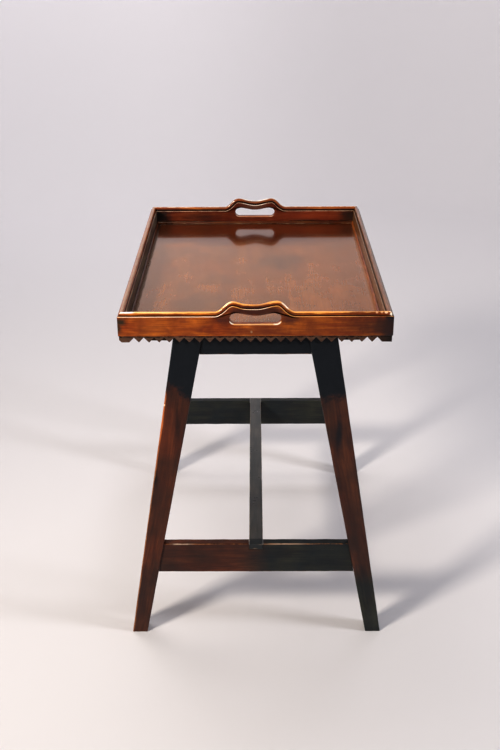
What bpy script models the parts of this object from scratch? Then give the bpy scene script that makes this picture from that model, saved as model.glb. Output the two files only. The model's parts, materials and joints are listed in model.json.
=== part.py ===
"""A mahogany butler's tray that lies loose on a stand with four splayed legs.

The tray is a thin floor panel let into four mitred walls, with a toothed apron strip glued under
each wall. Its two end walls rise in an arch over a kidney-shaped handhold. The stand is two
trapezoid end frames, joined by two long top rails and by one stretcher between the lower rails.

Metres, +Z up. X runs across the tray, Y along it. The origin is on the ground under the middle.
"""
import math

import bmesh
import bpy

# Fits
GLUE_GAP = 0.0003               # between two glued or resting faces

# Tray
TRAY_LENGTH = 0.706
TRAY_WIDTH = 0.502
WALL_THICKNESS = 0.014
WALL_HEIGHT = 0.0387            # from the underside to the shoulders beside the bead
WALL_ARRIS = 0.0015             # the eased lower outer edge
SHOULDER_WIDTH = 0.00275        # the step on each side of the bead
BEAD_HEIGHT = 0.007             # above the shoulders
FLOOR_THICKNESS = 0.007
REBATE_DEPTH = 0.006            # how far the floor runs in under each wall
COVE_SIZE = 0.004               # the quarter-round strip between wall and floor

# Handholds, in the middle of the two end walls
ARCH_FOOT = 0.069               # from the middle to where the arch starts
ARCH_PEAK = 0.040               # from the middle to the arch's highest point
ARCH_RISE = 0.0208
ARCH_DIP = 0.0067               # the hollow between the two high points
GRIP_HEIGHT = 0.0152            # wood between the slot and the arch's shoulder
SLOT_WIDTH = 0.094
SLOT_HEIGHT = 0.0201
SLOT_DIP = 0.0049               # the hollow in the middle of the slot's top
SLOT_ROUNDING = 0.0035          # radius of the slot's two mouths

# Toothed apron
APRON_SETBACK = 0.0015          # behind the wall's outer face
APRON_THICKNESS = 0.011
APRON_WEB = 0.0026              # wood above the notches
TOOTH_HEIGHT = 0.0094
TOOTH_PITCH = 0.01855
TOOTH_TIP = 0.0006              # the worn flat on each point
END_BLOCK = 0.012               # the least plain stretch at each end

# Battens under the tray floor, outside the legs, which keep the tray in place on the stand
BATTEN_WIDTH = 0.038
BATTEN_HEIGHT = 0.013
BATTEN_CLEARANCE = 0.001        # to the legs beside it

# Stand
STAND_HEIGHT = 0.681
TRAY_CLEARANCE = 0.001          # between the end aprons and the stand
FOOT_REACH = 0.2608             # from the middle to a foot's outer side
FOOT_WIDTH = 0.0313
TOP_REACH = 0.1507              # from the middle to a leg's outer side at the top
LEG_TOP_WIDTH = 0.0545
LEG_THICKNESS = 0.030
WORN_EDGE = 0.0012              # the worn arrises of legs and rails
RAIL_THICKNESS = 0.018
RAIL_INSET = 0.004              # the end rails stand this far behind the legs' faces
TOP_RAIL_HEIGHT = 0.0435
LOWER_RAIL_HEIGHT = 0.068
LOWER_RAIL_BASE = 0.150
TENON_THICKNESS = 0.008
TENON_LENGTH = 0.020
TENON_SHOULDER = 0.008          # above and below a tenon
MORTISE_WALL = 0.003            # wood between the two mortises at a leg's top
STRETCHER_WIDTH = 0.028
STRETCHER_DROP = 0.0105         # how far the stretcher hangs below its laps
LAP_DEPTH = 0.0135              # how deep the stretcher lies in the lower rails

# How many steps a round shape has
ARCH_STEPS = 40
BEAD_STEPS = 8
COVE_STEPS = 4
SLOT_END_STEPS = 8
SLOT_TOP_STEPS = 12
ROUNDING_STEPS = 3

# Places that follow from the sizes
TRAY_BASE = STAND_HEIGHT + GLUE_GAP
MITRE_GAP = GLUE_GAP / math.sqrt(2)
SLOT_MIDDLE = WALL_HEIGHT + ARCH_RISE - GRIP_HEIGHT - SLOT_HEIGHT / 2
STAND_END = TRAY_LENGTH / 2 - APRON_SETBACK - APRON_THICKNESS - TRAY_CLEARANCE
LEG_INNER_END = STAND_END - LEG_THICKNESS
RAIL_OUTER_END = STAND_END - RAIL_INSET
RAIL_INNER_END = RAIL_OUTER_END - RAIL_THICKNESS
RAIL_MIDDLE_END = (RAIL_OUTER_END + RAIL_INNER_END) / 2
TOP_RAIL_BASE = STAND_HEIGHT - TOP_RAIL_HEIGHT
LOWER_RAIL_TOP = LOWER_RAIL_BASE + LOWER_RAIL_HEIGHT
SIDE_TENON_END = RAIL_MIDDLE_END - TENON_THICKNESS / 2 - MORTISE_WALL

# The tray's four edges, each a quarter turn on: name, length and distance from the middle
TRAY_EDGES = (
    ("front", TRAY_WIDTH, TRAY_LENGTH / 2),
    ("right", TRAY_LENGTH, TRAY_WIDTH / 2),
    ("back", TRAY_WIDTH, TRAY_LENGTH / 2),
    ("left", TRAY_LENGTH, TRAY_WIDTH / 2),
)
SIDES = (("left", -1), ("right", 1))
ENDS = (("front", -1), ("back", 1))


# Materials and solids

def wood(name, color, roughness, coat):
    material = bpy.data.materials.new(name)
    material.use_nodes = True
    shader = material.node_tree.nodes["Principled BSDF"]
    shader.inputs["Base Color"].default_value = (*color, 1)
    shader.inputs["Roughness"].default_value = roughness
    shader.inputs["Metallic"].default_value = 0
    shader.inputs["Coat Weight"].default_value = coat
    return material


def solid(name, points, faces, material):
    """One object from points and faces, with every face turned outwards."""
    mesh = bpy.data.meshes.new(name)
    mesh.from_pydata(points, [], faces)
    shape = bmesh.new()
    shape.from_mesh(mesh)
    bmesh.ops.recalc_face_normals(shape, faces=shape.faces)
    shape.to_mesh(mesh)
    shape.free()
    if material:
        mesh.materials.append(material)
    thing = bpy.data.objects.new(name, mesh)
    bpy.context.scene.collection.objects.link(thing)
    return thing


def solid_of_rings(name, rings, material=None):
    """A solid through rings of equally many points, closed by a flat face at each end."""
    count = len(rings[0])
    points = [point for ring in rings for point in ring]
    last = len(points) - count
    faces = [list(range(count)), list(range(last, last + count))]
    for start in range(0, last, count):
        for here in range(count):
            after = (here + 1) % count
            faces.append([start + here, start + after, start + count + after, start + count + here])
    return solid(name, points, faces, material)


def prism_along_y(name, outline, start, end, material=None):
    """Carries an outline of (x, z) points straight from one y to another."""
    rings = [[(x, y, z) for x, z in outline] for y in (start, end)]
    return solid_of_rings(name, rings, material)


def prism_along_x(name, outline, start, end, material=None):
    """Carries an outline of (y, z) points straight from one x to another."""
    rings = [[(x, y, z) for y, z in outline] for x in (start, end)]
    return solid_of_rings(name, rings, material)


def box(name, low, high, material=None):
    outline = [(low[0], low[2]), (high[0], low[2]), (high[0], high[2]), (low[0], high[2])]
    return prism_along_y(name, outline, low[1], high[1], material)


def combine(thing, other, operation):
    """Cuts the other solid out of the thing, or joins it on, and keeps it as a hidden guide."""
    modifier = thing.modifiers.new(other.name, "BOOLEAN")
    modifier.operation = operation
    modifier.solver = "EXACT"
    modifier.object = other
    other.hide_render = True
    other.display_type = "WIRE"


def wear_long_edges(thing, axis):
    """Rounds the edges that run mainly along one axis, as handling does."""
    shape = bmesh.new()
    shape.from_mesh(thing.data)
    long_edges = []
    for edge in shape.edges:
        reach = edge.verts[1].co - edge.verts[0].co
        if abs(reach[axis]) > reach.length / 2:
            long_edges.append(edge)
    bmesh.ops.bevel(shape, geom=long_edges, offset=WORN_EDGE, segments=2, profile=0.5, affect="EDGES")
    shape.to_mesh(thing.data)
    shape.free()


def shade_round(thing):
    thing.data.shade_smooth()
    thing.data.set_sharp_from_angle(angle=math.radians(35))


def put_on_edge(thing, tray, turns, distance):
    """Turns a strip made along X to its edge of the tray."""
    turn = turns * math.pi / 2
    thing.parent = tray
    thing.location = (distance * math.sin(turn), -distance * math.cos(turn), 0)
    thing.rotation_euler = (0, 0, turn)


# The tray's strips are made along X, with y running inwards from the tray's outer face

def mitred(ring, half_length):
    """Moves the points of an end ring along X, onto the cut at 45 degrees."""
    return [(math.copysign(half_length - y - MITRE_GAP, x), y, z) for x, y, z in ring]


def half_cosine(share):
    """Runs from 0 to 1, level at both ends."""
    return (1 - math.cos(math.pi * share)) / 2


def arch_rise(x):
    """How far an end wall's shoulder line stands above the plain wall."""
    reach = abs(x)
    if reach >= ARCH_FOOT:
        return 0
    if reach >= ARCH_PEAK:
        return ARCH_RISE * half_cosine((ARCH_FOOT - reach) / (ARCH_FOOT - ARCH_PEAK))
    return ARCH_RISE - ARCH_DIP * half_cosine(1 - reach / ARCH_PEAK)


def arch_angle(x):
    """The slope of the shoulder line, between two places a little to either side."""
    step = ARCH_FOOT / ARCH_STEPS
    return math.atan2(arch_rise(x + step) - arch_rise(x - step), 2 * step)


def wall_ring(x, rise, angle):
    """A wall's section: a rebated foot, two shoulders and a half-round bead square to the arch."""
    seat = WALL_THICKNESS - REBATE_DEPTH
    ceiling = FLOOR_THICKNESS + GLUE_GAP
    foot = [(0, WALL_ARRIS), (WALL_ARRIS, 0), (seat, 0), (seat, ceiling), (WALL_THICKNESS, ceiling)]
    top = [(WALL_THICKNESS, 0)]
    for step in range(BEAD_STEPS + 1):
        turn = math.pi * step / BEAD_STEPS
        bead_reach = (WALL_THICKNESS / 2 - SHOULDER_WIDTH) * math.cos(turn)
        top.append((WALL_THICKNESS / 2 + bead_reach, BEAD_HEIGHT * math.sin(turn)))
    top.append((0, 0))
    ring = [(x, y, z) for y, z in foot]
    for y, above in top:
        ring.append((x - above * math.sin(angle), y, WALL_HEIGHT + rise + above * math.cos(angle)))
    return ring


def side_wall(name, length, material):
    half = length / 2
    rings = [mitred(wall_ring(x, 0, 0), half) for x in (-half, half)]
    wall = solid_of_rings(name, rings, material)
    shade_round(wall)
    return wall


def end_wall(name, length, material):
    half = length / 2
    rings = [mitred(wall_ring(-half, 0, 0), half)]
    for step in range(ARCH_STEPS + 1):
        x = ARCH_FOOT * (2 * step / ARCH_STEPS - 1)
        rings.append(wall_ring(x, arch_rise(x), arch_angle(x)))
    rings.append(mitred(wall_ring(half, 0, 0), half))
    wall = solid_of_rings(name, rings, material)
    shade_round(wall)
    return wall


def slot_outline(growth):
    """A slot with round ends and a hollow in the middle of its top, grown on all sides."""
    radius = SLOT_HEIGHT / 2 + growth
    straight = (SLOT_WIDTH - SLOT_HEIGHT) / 2
    half_turn = [math.pi * (step / SLOT_END_STEPS - 1 / 2) for step in range(SLOT_END_STEPS + 1)]
    outline = []
    for turn in half_turn:
        outline.append((straight + radius * math.cos(turn), SLOT_MIDDLE + radius * math.sin(turn)))
    for step in range(1, SLOT_TOP_STEPS):
        share = 1 - 2 * step / SLOT_TOP_STEPS
        hollow = SLOT_DIP * half_cosine(1 - abs(share))
        outline.append((straight * share, SLOT_MIDDLE + radius - hollow))
    for turn in half_turn:
        outline.append((-straight - radius * math.cos(turn), SLOT_MIDDLE - radius * math.sin(turn)))
    return outline


def slot_cutter(name):
    """The space of a handhold, widening in a quarter round at both faces of the wall."""
    mouth = [(-SLOT_ROUNDING, SLOT_ROUNDING)]
    for step in range(ROUNDING_STEPS + 1):
        turn = math.pi / 2 * step / ROUNDING_STEPS
        mouth.append((SLOT_ROUNDING * (1 - math.cos(turn)), SLOT_ROUNDING * (1 - math.sin(turn))))
    far_mouth = [(WALL_THICKNESS - depth, growth) for depth, growth in reversed(mouth)]
    rings = []
    for y, growth in mouth + far_mouth:
        rings.append([(x, y, z) for x, z in slot_outline(growth)])
    return solid_of_rings(name, rings)


def cove(name, length, material):
    """The quarter-round strip that closes the corner between a wall and the floor."""
    corner = (WALL_THICKNESS + GLUE_GAP, FLOOR_THICKNESS + GLUE_GAP)
    section = [corner]
    for step in range(COVE_STEPS + 1):
        turn = math.pi / 2 * step / COVE_STEPS
        section.append((corner[0] + COVE_SIZE * math.cos(turn), corner[1] + COVE_SIZE * math.sin(turn)))
    half = length / 2
    rings = [mitred([(x, y, z) for y, z in section], half) for x in (-half, half)]
    strip = solid_of_rings(name, rings, material)
    shade_round(strip)
    return strip


def apron(name, half_run, material):
    """A strip with as many whole V-shaped notches as fit, the middle one in its middle."""
    bottom = -APRON_WEB - TOOTH_HEIGHT
    count = int((half_run - END_BLOCK - TOOTH_PITCH / 2) / TOOTH_PITCH)
    half_mouth = (TOOTH_PITCH - TOOTH_TIP) / 2
    outline = [(-half_run, bottom), (-half_run, -GLUE_GAP), (half_run, -GLUE_GAP), (half_run, bottom)]
    for notch in range(count, -count - 1, -1):
        middle = notch * TOOTH_PITCH
        outline.append((middle + half_mouth, bottom))
        outline.append((middle, -APRON_WEB))
        outline.append((middle - half_mouth, bottom))
    return prism_along_y(name, outline, APRON_SETBACK, APRON_SETBACK + APRON_THICKNESS, material)


def make_tray(polished, figured, dull, bare):
    tray = bpy.data.objects.new("tray_lift", None)
    tray.location = (0, 0, TRAY_BASE)
    bpy.context.scene.collection.objects.link(tray)

    seat = WALL_THICKNESS - REBATE_DEPTH + GLUE_GAP
    half_x = TRAY_WIDTH / 2 - seat
    half_y = TRAY_LENGTH / 2 - seat
    floor = box("tray_floor", (-half_x, -half_y, 0), (half_x, half_y, FLOOR_THICKNESS), figured)
    floor.parent = tray

    for turns, (edge, length, distance) in enumerate(TRAY_EDGES):
        is_end = edge in ("front", "back")
        if is_end:
            wall = end_wall("end_wall_" + edge, length, polished)
            cutter = slot_cutter("slot_" + edge)
            combine(wall, cutter, "DIFFERENCE")
            put_on_edge(cutter, tray, turns, distance)
            half_run = length / 2 - APRON_SETBACK
        else:
            wall = side_wall("side_wall_" + edge, length, polished)
            half_run = length / 2 - APRON_SETBACK - APRON_THICKNESS - GLUE_GAP
        put_on_edge(wall, tray, turns, distance)
        put_on_edge(cove("cove_" + edge, length, polished), tray, turns, distance)
        put_on_edge(apron("toothed_apron_" + edge, half_run, dull), tray, turns, distance)

    inner = leg_sides(STAND_HEIGHT - BATTEN_HEIGHT)[1] + BATTEN_CLEARANCE
    half = TRAY_LENGTH / 2 - APRON_SETBACK - APRON_THICKNESS - GLUE_GAP
    for side, sign in SIDES:
        across = sorted((sign * inner, sign * (inner + BATTEN_WIDTH)))
        low = (across[0], -half, -GLUE_GAP - BATTEN_HEIGHT)
        high = (across[1], half, -GLUE_GAP)
        batten = box("floor_batten_" + side, low, high, bare)
        batten.parent = tray


# The stand

def leg_sides(z):
    """How far a leg's inner and outer sides are from the middle, at a height."""
    share = z / STAND_HEIGHT
    foot_inner = FOOT_REACH - FOOT_WIDTH
    top_inner = TOP_REACH - LEG_TOP_WIDTH
    inner = foot_inner + (top_inner - foot_inner) * share
    outer = FOOT_REACH + (TOP_REACH - FOOT_REACH) * share
    return inner, outer


SIDE_RAIL_REACH = sum(leg_sides((TOP_RAIL_BASE + STAND_HEIGHT) / 2)) / 2


def end_tenon(base, top, side, end, margin):
    """The box of an end rail's tenon, or with a margin that of its mortise."""
    start = side * (leg_sides(top)[0] - TENON_THICKNESS)
    finish = side * (leg_sides((base + top) / 2)[0] + TENON_LENGTH + margin)
    half = TENON_THICKNESS / 2 + margin
    middle = end * RAIL_MIDDLE_END
    low = (min(start, finish), middle - half, base + TENON_SHOULDER - margin)
    high = (max(start, finish), middle + half, top - TENON_SHOULDER + margin)
    return low, high


def side_tenon(side, end, margin):
    """The box of a long top rail's tenon, or with a margin that of its mortise."""
    start = end * (LEG_INNER_END - TENON_THICKNESS)
    finish = end * (SIDE_TENON_END + margin)
    half = TENON_THICKNESS / 2 + margin
    middle = side * SIDE_RAIL_REACH
    low = (middle - half, min(start, finish), TOP_RAIL_BASE + TENON_SHOULDER - margin)
    high = (middle + half, max(start, finish), STAND_HEIGHT - TENON_SHOULDER + margin)
    return low, high


def leg(name, side, end, material):
    """A straight leg, wider at the top, with three mortises."""
    foot_inner, foot_outer = leg_sides(0)
    top_inner, top_outer = leg_sides(STAND_HEIGHT)
    outline = [
        (side * foot_inner, 0), (side * foot_outer, 0),
        (side * top_outer, STAND_HEIGHT), (side * top_inner, STAND_HEIGHT),
    ]
    post = prism_along_y(name, outline, end * LEG_INNER_END, end * STAND_END, material)
    wear_long_edges(post, 2)
    mortises = {
        "top_mortise": end_tenon(TOP_RAIL_BASE, STAND_HEIGHT, side, end, GLUE_GAP),
        "lower_mortise": end_tenon(LOWER_RAIL_BASE, LOWER_RAIL_TOP, side, end, GLUE_GAP),
        "side_mortise": side_tenon(side, end, GLUE_GAP),
    }
    for mortise, (low, high) in mortises.items():
        combine(post, box(name + "_" + mortise, low, high), "DIFFERENCE")


def end_rail(name, base, top, lap, end, material):
    """A rail between two legs, its shoulders cut to their slope, with a lap for the stretcher."""
    low = leg_sides(base)[0] - GLUE_GAP
    high = leg_sides(top)[0] - GLUE_GAP
    outline = [(-high, top), (-low, base), (low, base), (high, top)]
    if lap:
        half_lap = STRETCHER_WIDTH / 2 + GLUE_GAP
        bed = top - LAP_DEPTH - GLUE_GAP
        outline += [(half_lap, top), (half_lap, bed), (-half_lap, bed), (-half_lap, top)]
    rail = prism_along_y(name, outline, end * RAIL_INNER_END, end * RAIL_OUTER_END, material)
    wear_long_edges(rail, 0)
    for side_name, side in SIDES:
        tenon = box(name + "_tenon_" + side_name, *end_tenon(base, top, side, end, 0))
        combine(rail, tenon, "UNION")


def side_rail(name, side, material):
    """A long top rail, which joins the two end frames under the tray."""
    middle = side * SIDE_RAIL_REACH
    half = LEG_INNER_END - GLUE_GAP
    low = (middle - RAIL_THICKNESS / 2, -half, TOP_RAIL_BASE)
    high = (middle + RAIL_THICKNESS / 2, half, STAND_HEIGHT)
    rail = box(name, low, high, material)
    wear_long_edges(rail, 1)
    for end_name, end in ENDS:
        tenon = box(name + "_tenon_" + end_name, *side_tenon(side, end, 0))
        combine(rail, tenon, "UNION")


def stretcher(name, material):
    """The long bar, notched from below where it lies in the two lower rails."""
    end = RAIL_OUTER_END
    notch = RAIL_INNER_END - GLUE_GAP
    top = LOWER_RAIL_TOP
    lap = top - LAP_DEPTH
    bottom = lap - STRETCHER_DROP
    outline = [
        (-end, top), (-end, lap), (-notch, lap), (-notch, bottom),
        (notch, bottom), (notch, lap), (end, lap), (end, top),
    ]
    bar = prism_along_x(name, outline, -STRETCHER_WIDTH / 2, STRETCHER_WIDTH / 2, material)
    wear_long_edges(bar, 1)


def make_stand(dark):
    for end_name, end in ENDS:
        end_rail("top_rail_" + end_name, TOP_RAIL_BASE, STAND_HEIGHT, False, end, dark)
        end_rail("lower_rail_" + end_name, LOWER_RAIL_BASE, LOWER_RAIL_TOP, True, end, dark)
        for side_name, side in SIDES:
            leg("leg_" + end_name + "_" + side_name, side, end, dark)
    for side_name, side in SIDES:
        side_rail("top_rail_" + side_name, side, dark)
    stretcher("stretcher", dark)


def main():
    for thing in list(bpy.data.objects):
        bpy.data.objects.remove(thing)
    polished = wood("polished_wall_mahogany", (0.23, 0.07, 0.03), 0.28, 0.6)
    figured = wood("polished_floor_mahogany", (0.13, 0.045, 0.03), 0.2, 0.8)
    dull = wood("dull_apron_mahogany", (0.1, 0.04, 0.025), 0.5, 0.2)
    bare = wood("bare_underside_mahogany", (0.2, 0.11, 0.065), 0.7, 0)
    dark = wood("dark_stand_mahogany", (0.04, 0.015, 0.011), 0.4, 0.4)
    make_tray(polished, figured, dull, bare)
    make_stand(dark)


main()
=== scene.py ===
import json
from math import cos, pi, radians, sin

import bmesh
import bpy
import numpy as np
from mathutils import Matrix, Vector


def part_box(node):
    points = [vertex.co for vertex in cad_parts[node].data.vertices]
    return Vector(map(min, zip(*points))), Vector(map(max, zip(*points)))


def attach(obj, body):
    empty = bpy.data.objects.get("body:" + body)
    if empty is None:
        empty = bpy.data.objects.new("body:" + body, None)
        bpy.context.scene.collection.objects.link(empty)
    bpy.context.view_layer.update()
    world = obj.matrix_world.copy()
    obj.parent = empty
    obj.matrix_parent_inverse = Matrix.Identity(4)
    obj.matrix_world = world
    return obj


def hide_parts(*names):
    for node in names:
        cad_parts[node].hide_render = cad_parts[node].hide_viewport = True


# A mahogany butler's tray on its stand: the polish, grain and wear of every piece.
# Metres, +Z up. X runs across the tray, Y along it, and the camera looks along +Y.

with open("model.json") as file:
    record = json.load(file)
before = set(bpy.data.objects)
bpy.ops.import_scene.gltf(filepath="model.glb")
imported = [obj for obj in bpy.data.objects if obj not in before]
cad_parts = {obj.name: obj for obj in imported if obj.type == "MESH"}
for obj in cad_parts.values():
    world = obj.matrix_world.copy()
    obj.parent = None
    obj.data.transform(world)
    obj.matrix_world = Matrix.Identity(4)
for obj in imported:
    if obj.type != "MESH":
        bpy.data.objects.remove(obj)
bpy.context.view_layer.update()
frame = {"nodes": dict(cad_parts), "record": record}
print("frame loaded,", len(frame["nodes"]), "nodes")


def addObject(name, content):
    # the object that shows a mesh, a light or a camera
    added = bpy.data.objects.new(name, content)
    bpy.context.scene.collection.objects.link(added)
    return added


# The camera, at the place and angle that the straight edges in the photograph give

view = {
    "place": (-0.0013, -2.1068, 1.4189),
    "yaw": 0.296,            # degrees to the left
    "pitch": 24.929,         # degrees down
    "roll": 0.301,           # degrees clockwise
    "focalPixels": 1042,     # focal length in pixels of the photograph
    "frameHeight": 750,
    "sensor": 36,
}


def makeCamera():
    yaw, pitch, roll = (radians(view[angle]) for angle in ("yaw", "pitch", "roll"))
    ahead = Vector((-sin(yaw) * cos(pitch), cos(yaw) * cos(pitch), -sin(pitch)))
    level = Vector((cos(yaw), sin(yaw), 0))
    below = ahead.cross(level)
    right = cos(roll) * level + sin(roll) * below
    down = cos(roll) * below - sin(roll) * level
    lens = bpy.data.cameras.new("trayCamera")
    lens.sensor_width = view["sensor"]
    lens.lens = view["focalPixels"] / view["frameHeight"] * view["sensor"]
    camera = addObject("trayCamera", lens)
    turned = Matrix((right, -down, -ahead)).transposed().to_4x4()
    camera.matrix_world = Matrix.Translation(view["place"]) @ turned
    bpy.context.scene.camera = camera


makeCamera()


# Surfaces. A patch is a grid of points, each with six numbers: how far it lies along the piece,
# across it and up it, how worn it is (in places standing in for a highlight), how much grime and
# painted shade it has, and how much of the dusk tone it takes, painted shade over a darker stain.

def gridQuads(rows, columns, start):
    # the four corner numbers of each quad between neighbouring rows and columns
    corner = start + np.arange(rows * columns).reshape(rows, columns)[:-1, :-1].ravel()
    return np.stack([corner, corner + 1, corner + columns + 1, corner + columns], 1)


def patchOf(along, across, up, worn=0.0, shadeAndGrime=0.0, dusk=0.0):
    return np.stack(np.broadcast_arrays(along, across, up, worn, shadeAndGrime, dusk), -1).astype(float)


def waver(t, seed, size, longest):
    # an uneven line: four sine waves, each shorter and weaker, with seeded phases
    phases = np.random.default_rng(seed).uniform(0, 2 * pi, 4)
    lengths = longest / np.array([1, 1.7, 3.1, 5.3])
    shares = np.array([0.5, 0.3, 0.15, 0.08])
    return size * (shares * np.sin(2 * pi * np.asarray(t)[..., None] / lengths + phases)).sum(-1)


def evenSteps(low, high, count):
    return np.linspace(low, high, count + 1)


def joined(*parts):
    return np.concatenate(parts)


def ramp(value, start, span):
    # 0 up to the start, then evenly up to 1 at the end of the span
    return np.clip((value - start) / span, 0, 1)


def bell(distance, width):
    return np.exp(-(distance / width) ** 2)


def rounding(radius, steps):
    # a quarter circle: across from one face, down from the other, and worn the most half way
    turn = evenSteps(0, pi / 2, steps)
    return radius * (1 - np.cos(turn)), radius * (1 - np.sin(turn)), np.sin(2 * turn)


def heldSteps(low, high, count, margin):
    # even steps, with one more close to each end to hold the shading flat
    return joined([low], np.linspace(low + margin, high - margin, count - 1), [high])


bodies = frame["record"]["behaviour"]["bodies"]
bodyOfNode = {node: body for body, nodes in bodies.items() for node in nodes}


def makePiece(name, node, patches, caps, place, grain, material, dents=()):
    # One closed skin from grids and flat end faces that share their edges. The doubles along the
    # shared edges are merged, and a dent pushes the points near its middle by a bell curve.
    points = np.concatenate([patch.reshape(-1, 6) for patch in [*patches, *caps]])
    faces, start = [], 0
    for patch in patches:
        rows, columns = patch.shape[:2]
        faces += gridQuads(rows, columns, start).tolist()
        start += rows * columns
    for cap in caps:
        faces.append(list(range(start, start + len(cap))))
        start += len(cap)
    world = place(points[:, :3])
    for middle, reach, push in dents:
        nearness = np.exp(-(((world - middle) / reach) ** 2).sum(1))
        world = world + nearness[:, None] * np.array(push)
    mesh = bpy.data.meshes.new(name)
    mesh.from_pydata(world, [], faces)
    board = mesh.attributes.new("board", "FLOAT_VECTOR", "POINT")
    board.data.foreach_set("vector", grain(points).astype(np.float32).ravel())
    for label, column in (("worn", 3), ("shadeAndGrime", 4), ("dusk", 5)):
        layer = mesh.attributes.new(label, "FLOAT", "POINT")
        layer.data.foreach_set("value", points[:, column].astype(np.float32))
    skin = bmesh.new()
    skin.from_mesh(mesh)
    bmesh.ops.remove_doubles(skin, verts=skin.verts, dist=0.00002)
    bmesh.ops.recalc_face_normals(skin, faces=skin.faces)
    openEdges = sum(not edge.is_manifold for edge in skin.edges)
    skin.to_mesh(mesh)
    skin.free()
    if openEdges:
        print("  open edges on", name, openEdges)
    mesh.shade_smooth()
    mesh.set_sharp_from_angle(angle=radians(38))
    for look in material if isinstance(material, (list, tuple)) else [material]:
        mesh.materials.append(look)
    piece = addObject(name, mesh)
    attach(piece, bodyOfNode[node])
    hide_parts(node)
    return piece


def boardOf(seed):
    # Each board is cut from its own place in the tree, so no two pieces share their figure
    offset = np.random.default_rng(seed).uniform(-5, 5, 3)
    return lambda points: points[:, :3] + offset


def makeStrip(name, node, strip, place, seed, material, dents=(), grain=None):
    # a piece from one grid that is carried along it, with a flat face at each end
    ends = [strip[0, :-1], strip[-1, :-1]]
    makePiece(name, node, [strip], ends, place, grain or boardOf(seed), material, dents)


# Shader tools

def fill(tree, node, inputs):
    # links an input to another node's output, or sets it to a constant
    for name, value in dict(inputs).items():
        if isinstance(value, bpy.types.NodeSocket):
            tree.links.new(value, node.inputs[name])
        else:
            node.inputs[name].default_value = value


def addNode(tree, kind, inputs=(), **settings):
    added = tree.nodes.new("ShaderNode" + kind)
    for name, value in settings.items():
        setattr(added, name, value)
    fill(tree, added, inputs)
    return added


def calculate(tree, operation, first, second=0.0):
    return addNode(tree, "Math", {0: first, 1: second}, operation=operation).outputs[0]


def plus(tree, first, second):
    return calculate(tree, "ADD", first, second)


def times(tree, first, second):
    return calculate(tree, "MULTIPLY", first, second)


def inverse(tree, value):
    return calculate(tree, "DIVIDE", 1.0, value)


def vectorMath(tree, operation, *values):
    return addNode(tree, "VectorMath", enumerate(values), operation=operation).outputs


def stretch(tree, vector, factors):
    return vectorMath(tree, "MULTIPLY", vector, factors)[0]


def noise(tree, vector, scale, detail=4.0, roughness=0.55, distortion=0.0):
    return addNode(tree, "TexNoise", {
        "Vector": vector, "Scale": scale, "Detail": detail, "Roughness": roughness,
        "Distortion": distortion}).outputs["Fac"]


def remap(tree, value, low, high, newLow=0.0, newHigh=1.0):
    values = {0: value, 1: low, 2: high, 3: newLow, 4: newHigh}
    return addNode(tree, "MapRange", values, interpolation_type="SMOOTHSTEP").outputs[0]


def blend(tree, share, first, second, kind="MIX"):
    values = {0: share, 6: first, 7: second}
    return addNode(tree, "Mix", values, data_type="RGBA", blend_type=kind).outputs[2]


def newGroup(name, inputs, outputs):
    # a node group with named sockets: an input is a number or a vector by its default value
    tree = bpy.data.node_groups.new(name, "ShaderNodeTree")
    for label, value in inputs.items():
        kind = "NodeSocketVector" if isinstance(value, tuple) else "NodeSocketFloat"
        socket = tree.interface.new_socket(label, in_out="INPUT", socket_type=kind)
        socket.default_value = value
    for label in outputs:
        tree.interface.new_socket(label, in_out="OUTPUT", socket_type="NodeSocketFloat")
    given = tree.nodes.new("NodeGroupInput")
    result = tree.nodes.new("NodeGroupOutput")
    return tree, given.outputs, result.inputs


figure = {      # the wood's figure: each noise's stretch draws it out along the board by its first number
    "wander": (2.2, 9.0, 9.0), "drift": 0.035,
    "streaks": {"stretch": (0.045, 1.0, 1.0), "noise": (6.0, 0.62, 0.2), "from": 0.36, "to": 0.66},
    "bands": {"stretch": (0.16, 1.0, 1.0), "noise": (2.0, 0.5, 0.6), "from": 0.36, "to": 0.64},
    "pores": {"stretch": (0.09, 1.0, 1.0), "noise": (1.0, 0.5), "from": 0.66, "to": 0.78},
    "poreScale": 1500.0,
}
skinSettings = {    # shared by all the woods
    "shadeAndGrimePatch": 0.02, "shadeAndGrimeRagged": 0.8,
    "hazePatch": 0.035, "bareRough": 0.1, "duskRough": 0.3, "shadeAndGrimeRough": 0.15,
    "shadeAndGrimeDull": 0.8,                         # how much of the polish the grime and painted shade take
    "crestFrom": 0.35, "crestFull": 0.85,     # wear from which the painted highlights show, and show in full
    "fineScale": 900.0, "fineBump": 0.3, "streakBump": -0.35, "poreBump": -0.9, "bumpHeight": 0.0004,
    "spotScale": 140.0, "spotCoarse": 5.0,    # finest ragged edge of a spot, and how its reach coarsens it
}


def woodGrainGroup():
    # long fine streaks, broad bands that drift across the board, and short dark pores
    tree, given, result = newGroup(
        "woodGrain", {"Board": (0.0, 0.0, 0.0), "Streak Width": 0.002, "Band Width": 0.02},
        ("Streaks", "Bands", "Pores"))
    wander = noise(tree, stretch(tree, given["Board"], figure["wander"]), 1.0, 2.0)
    drift = addNode(tree, "CombineXYZ", {1: times(tree, wander, figure["drift"])}).outputs[0]
    board = vectorMath(tree, "ADD", given["Board"], drift)[0]
    scales = {"streaks": inverse(tree, given["Streak Width"]), "bands": inverse(tree, given["Band Width"]),
              "pores": figure["poreScale"]}
    for layer, scale in scales.items():
        kind = figure[layer]
        value = noise(tree, stretch(tree, board, kind["stretch"]), scale, *kind["noise"])
        tree.links.new(remap(tree, value, kind["from"], kind["to"]), result[layer.capitalize()])
    return tree


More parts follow.
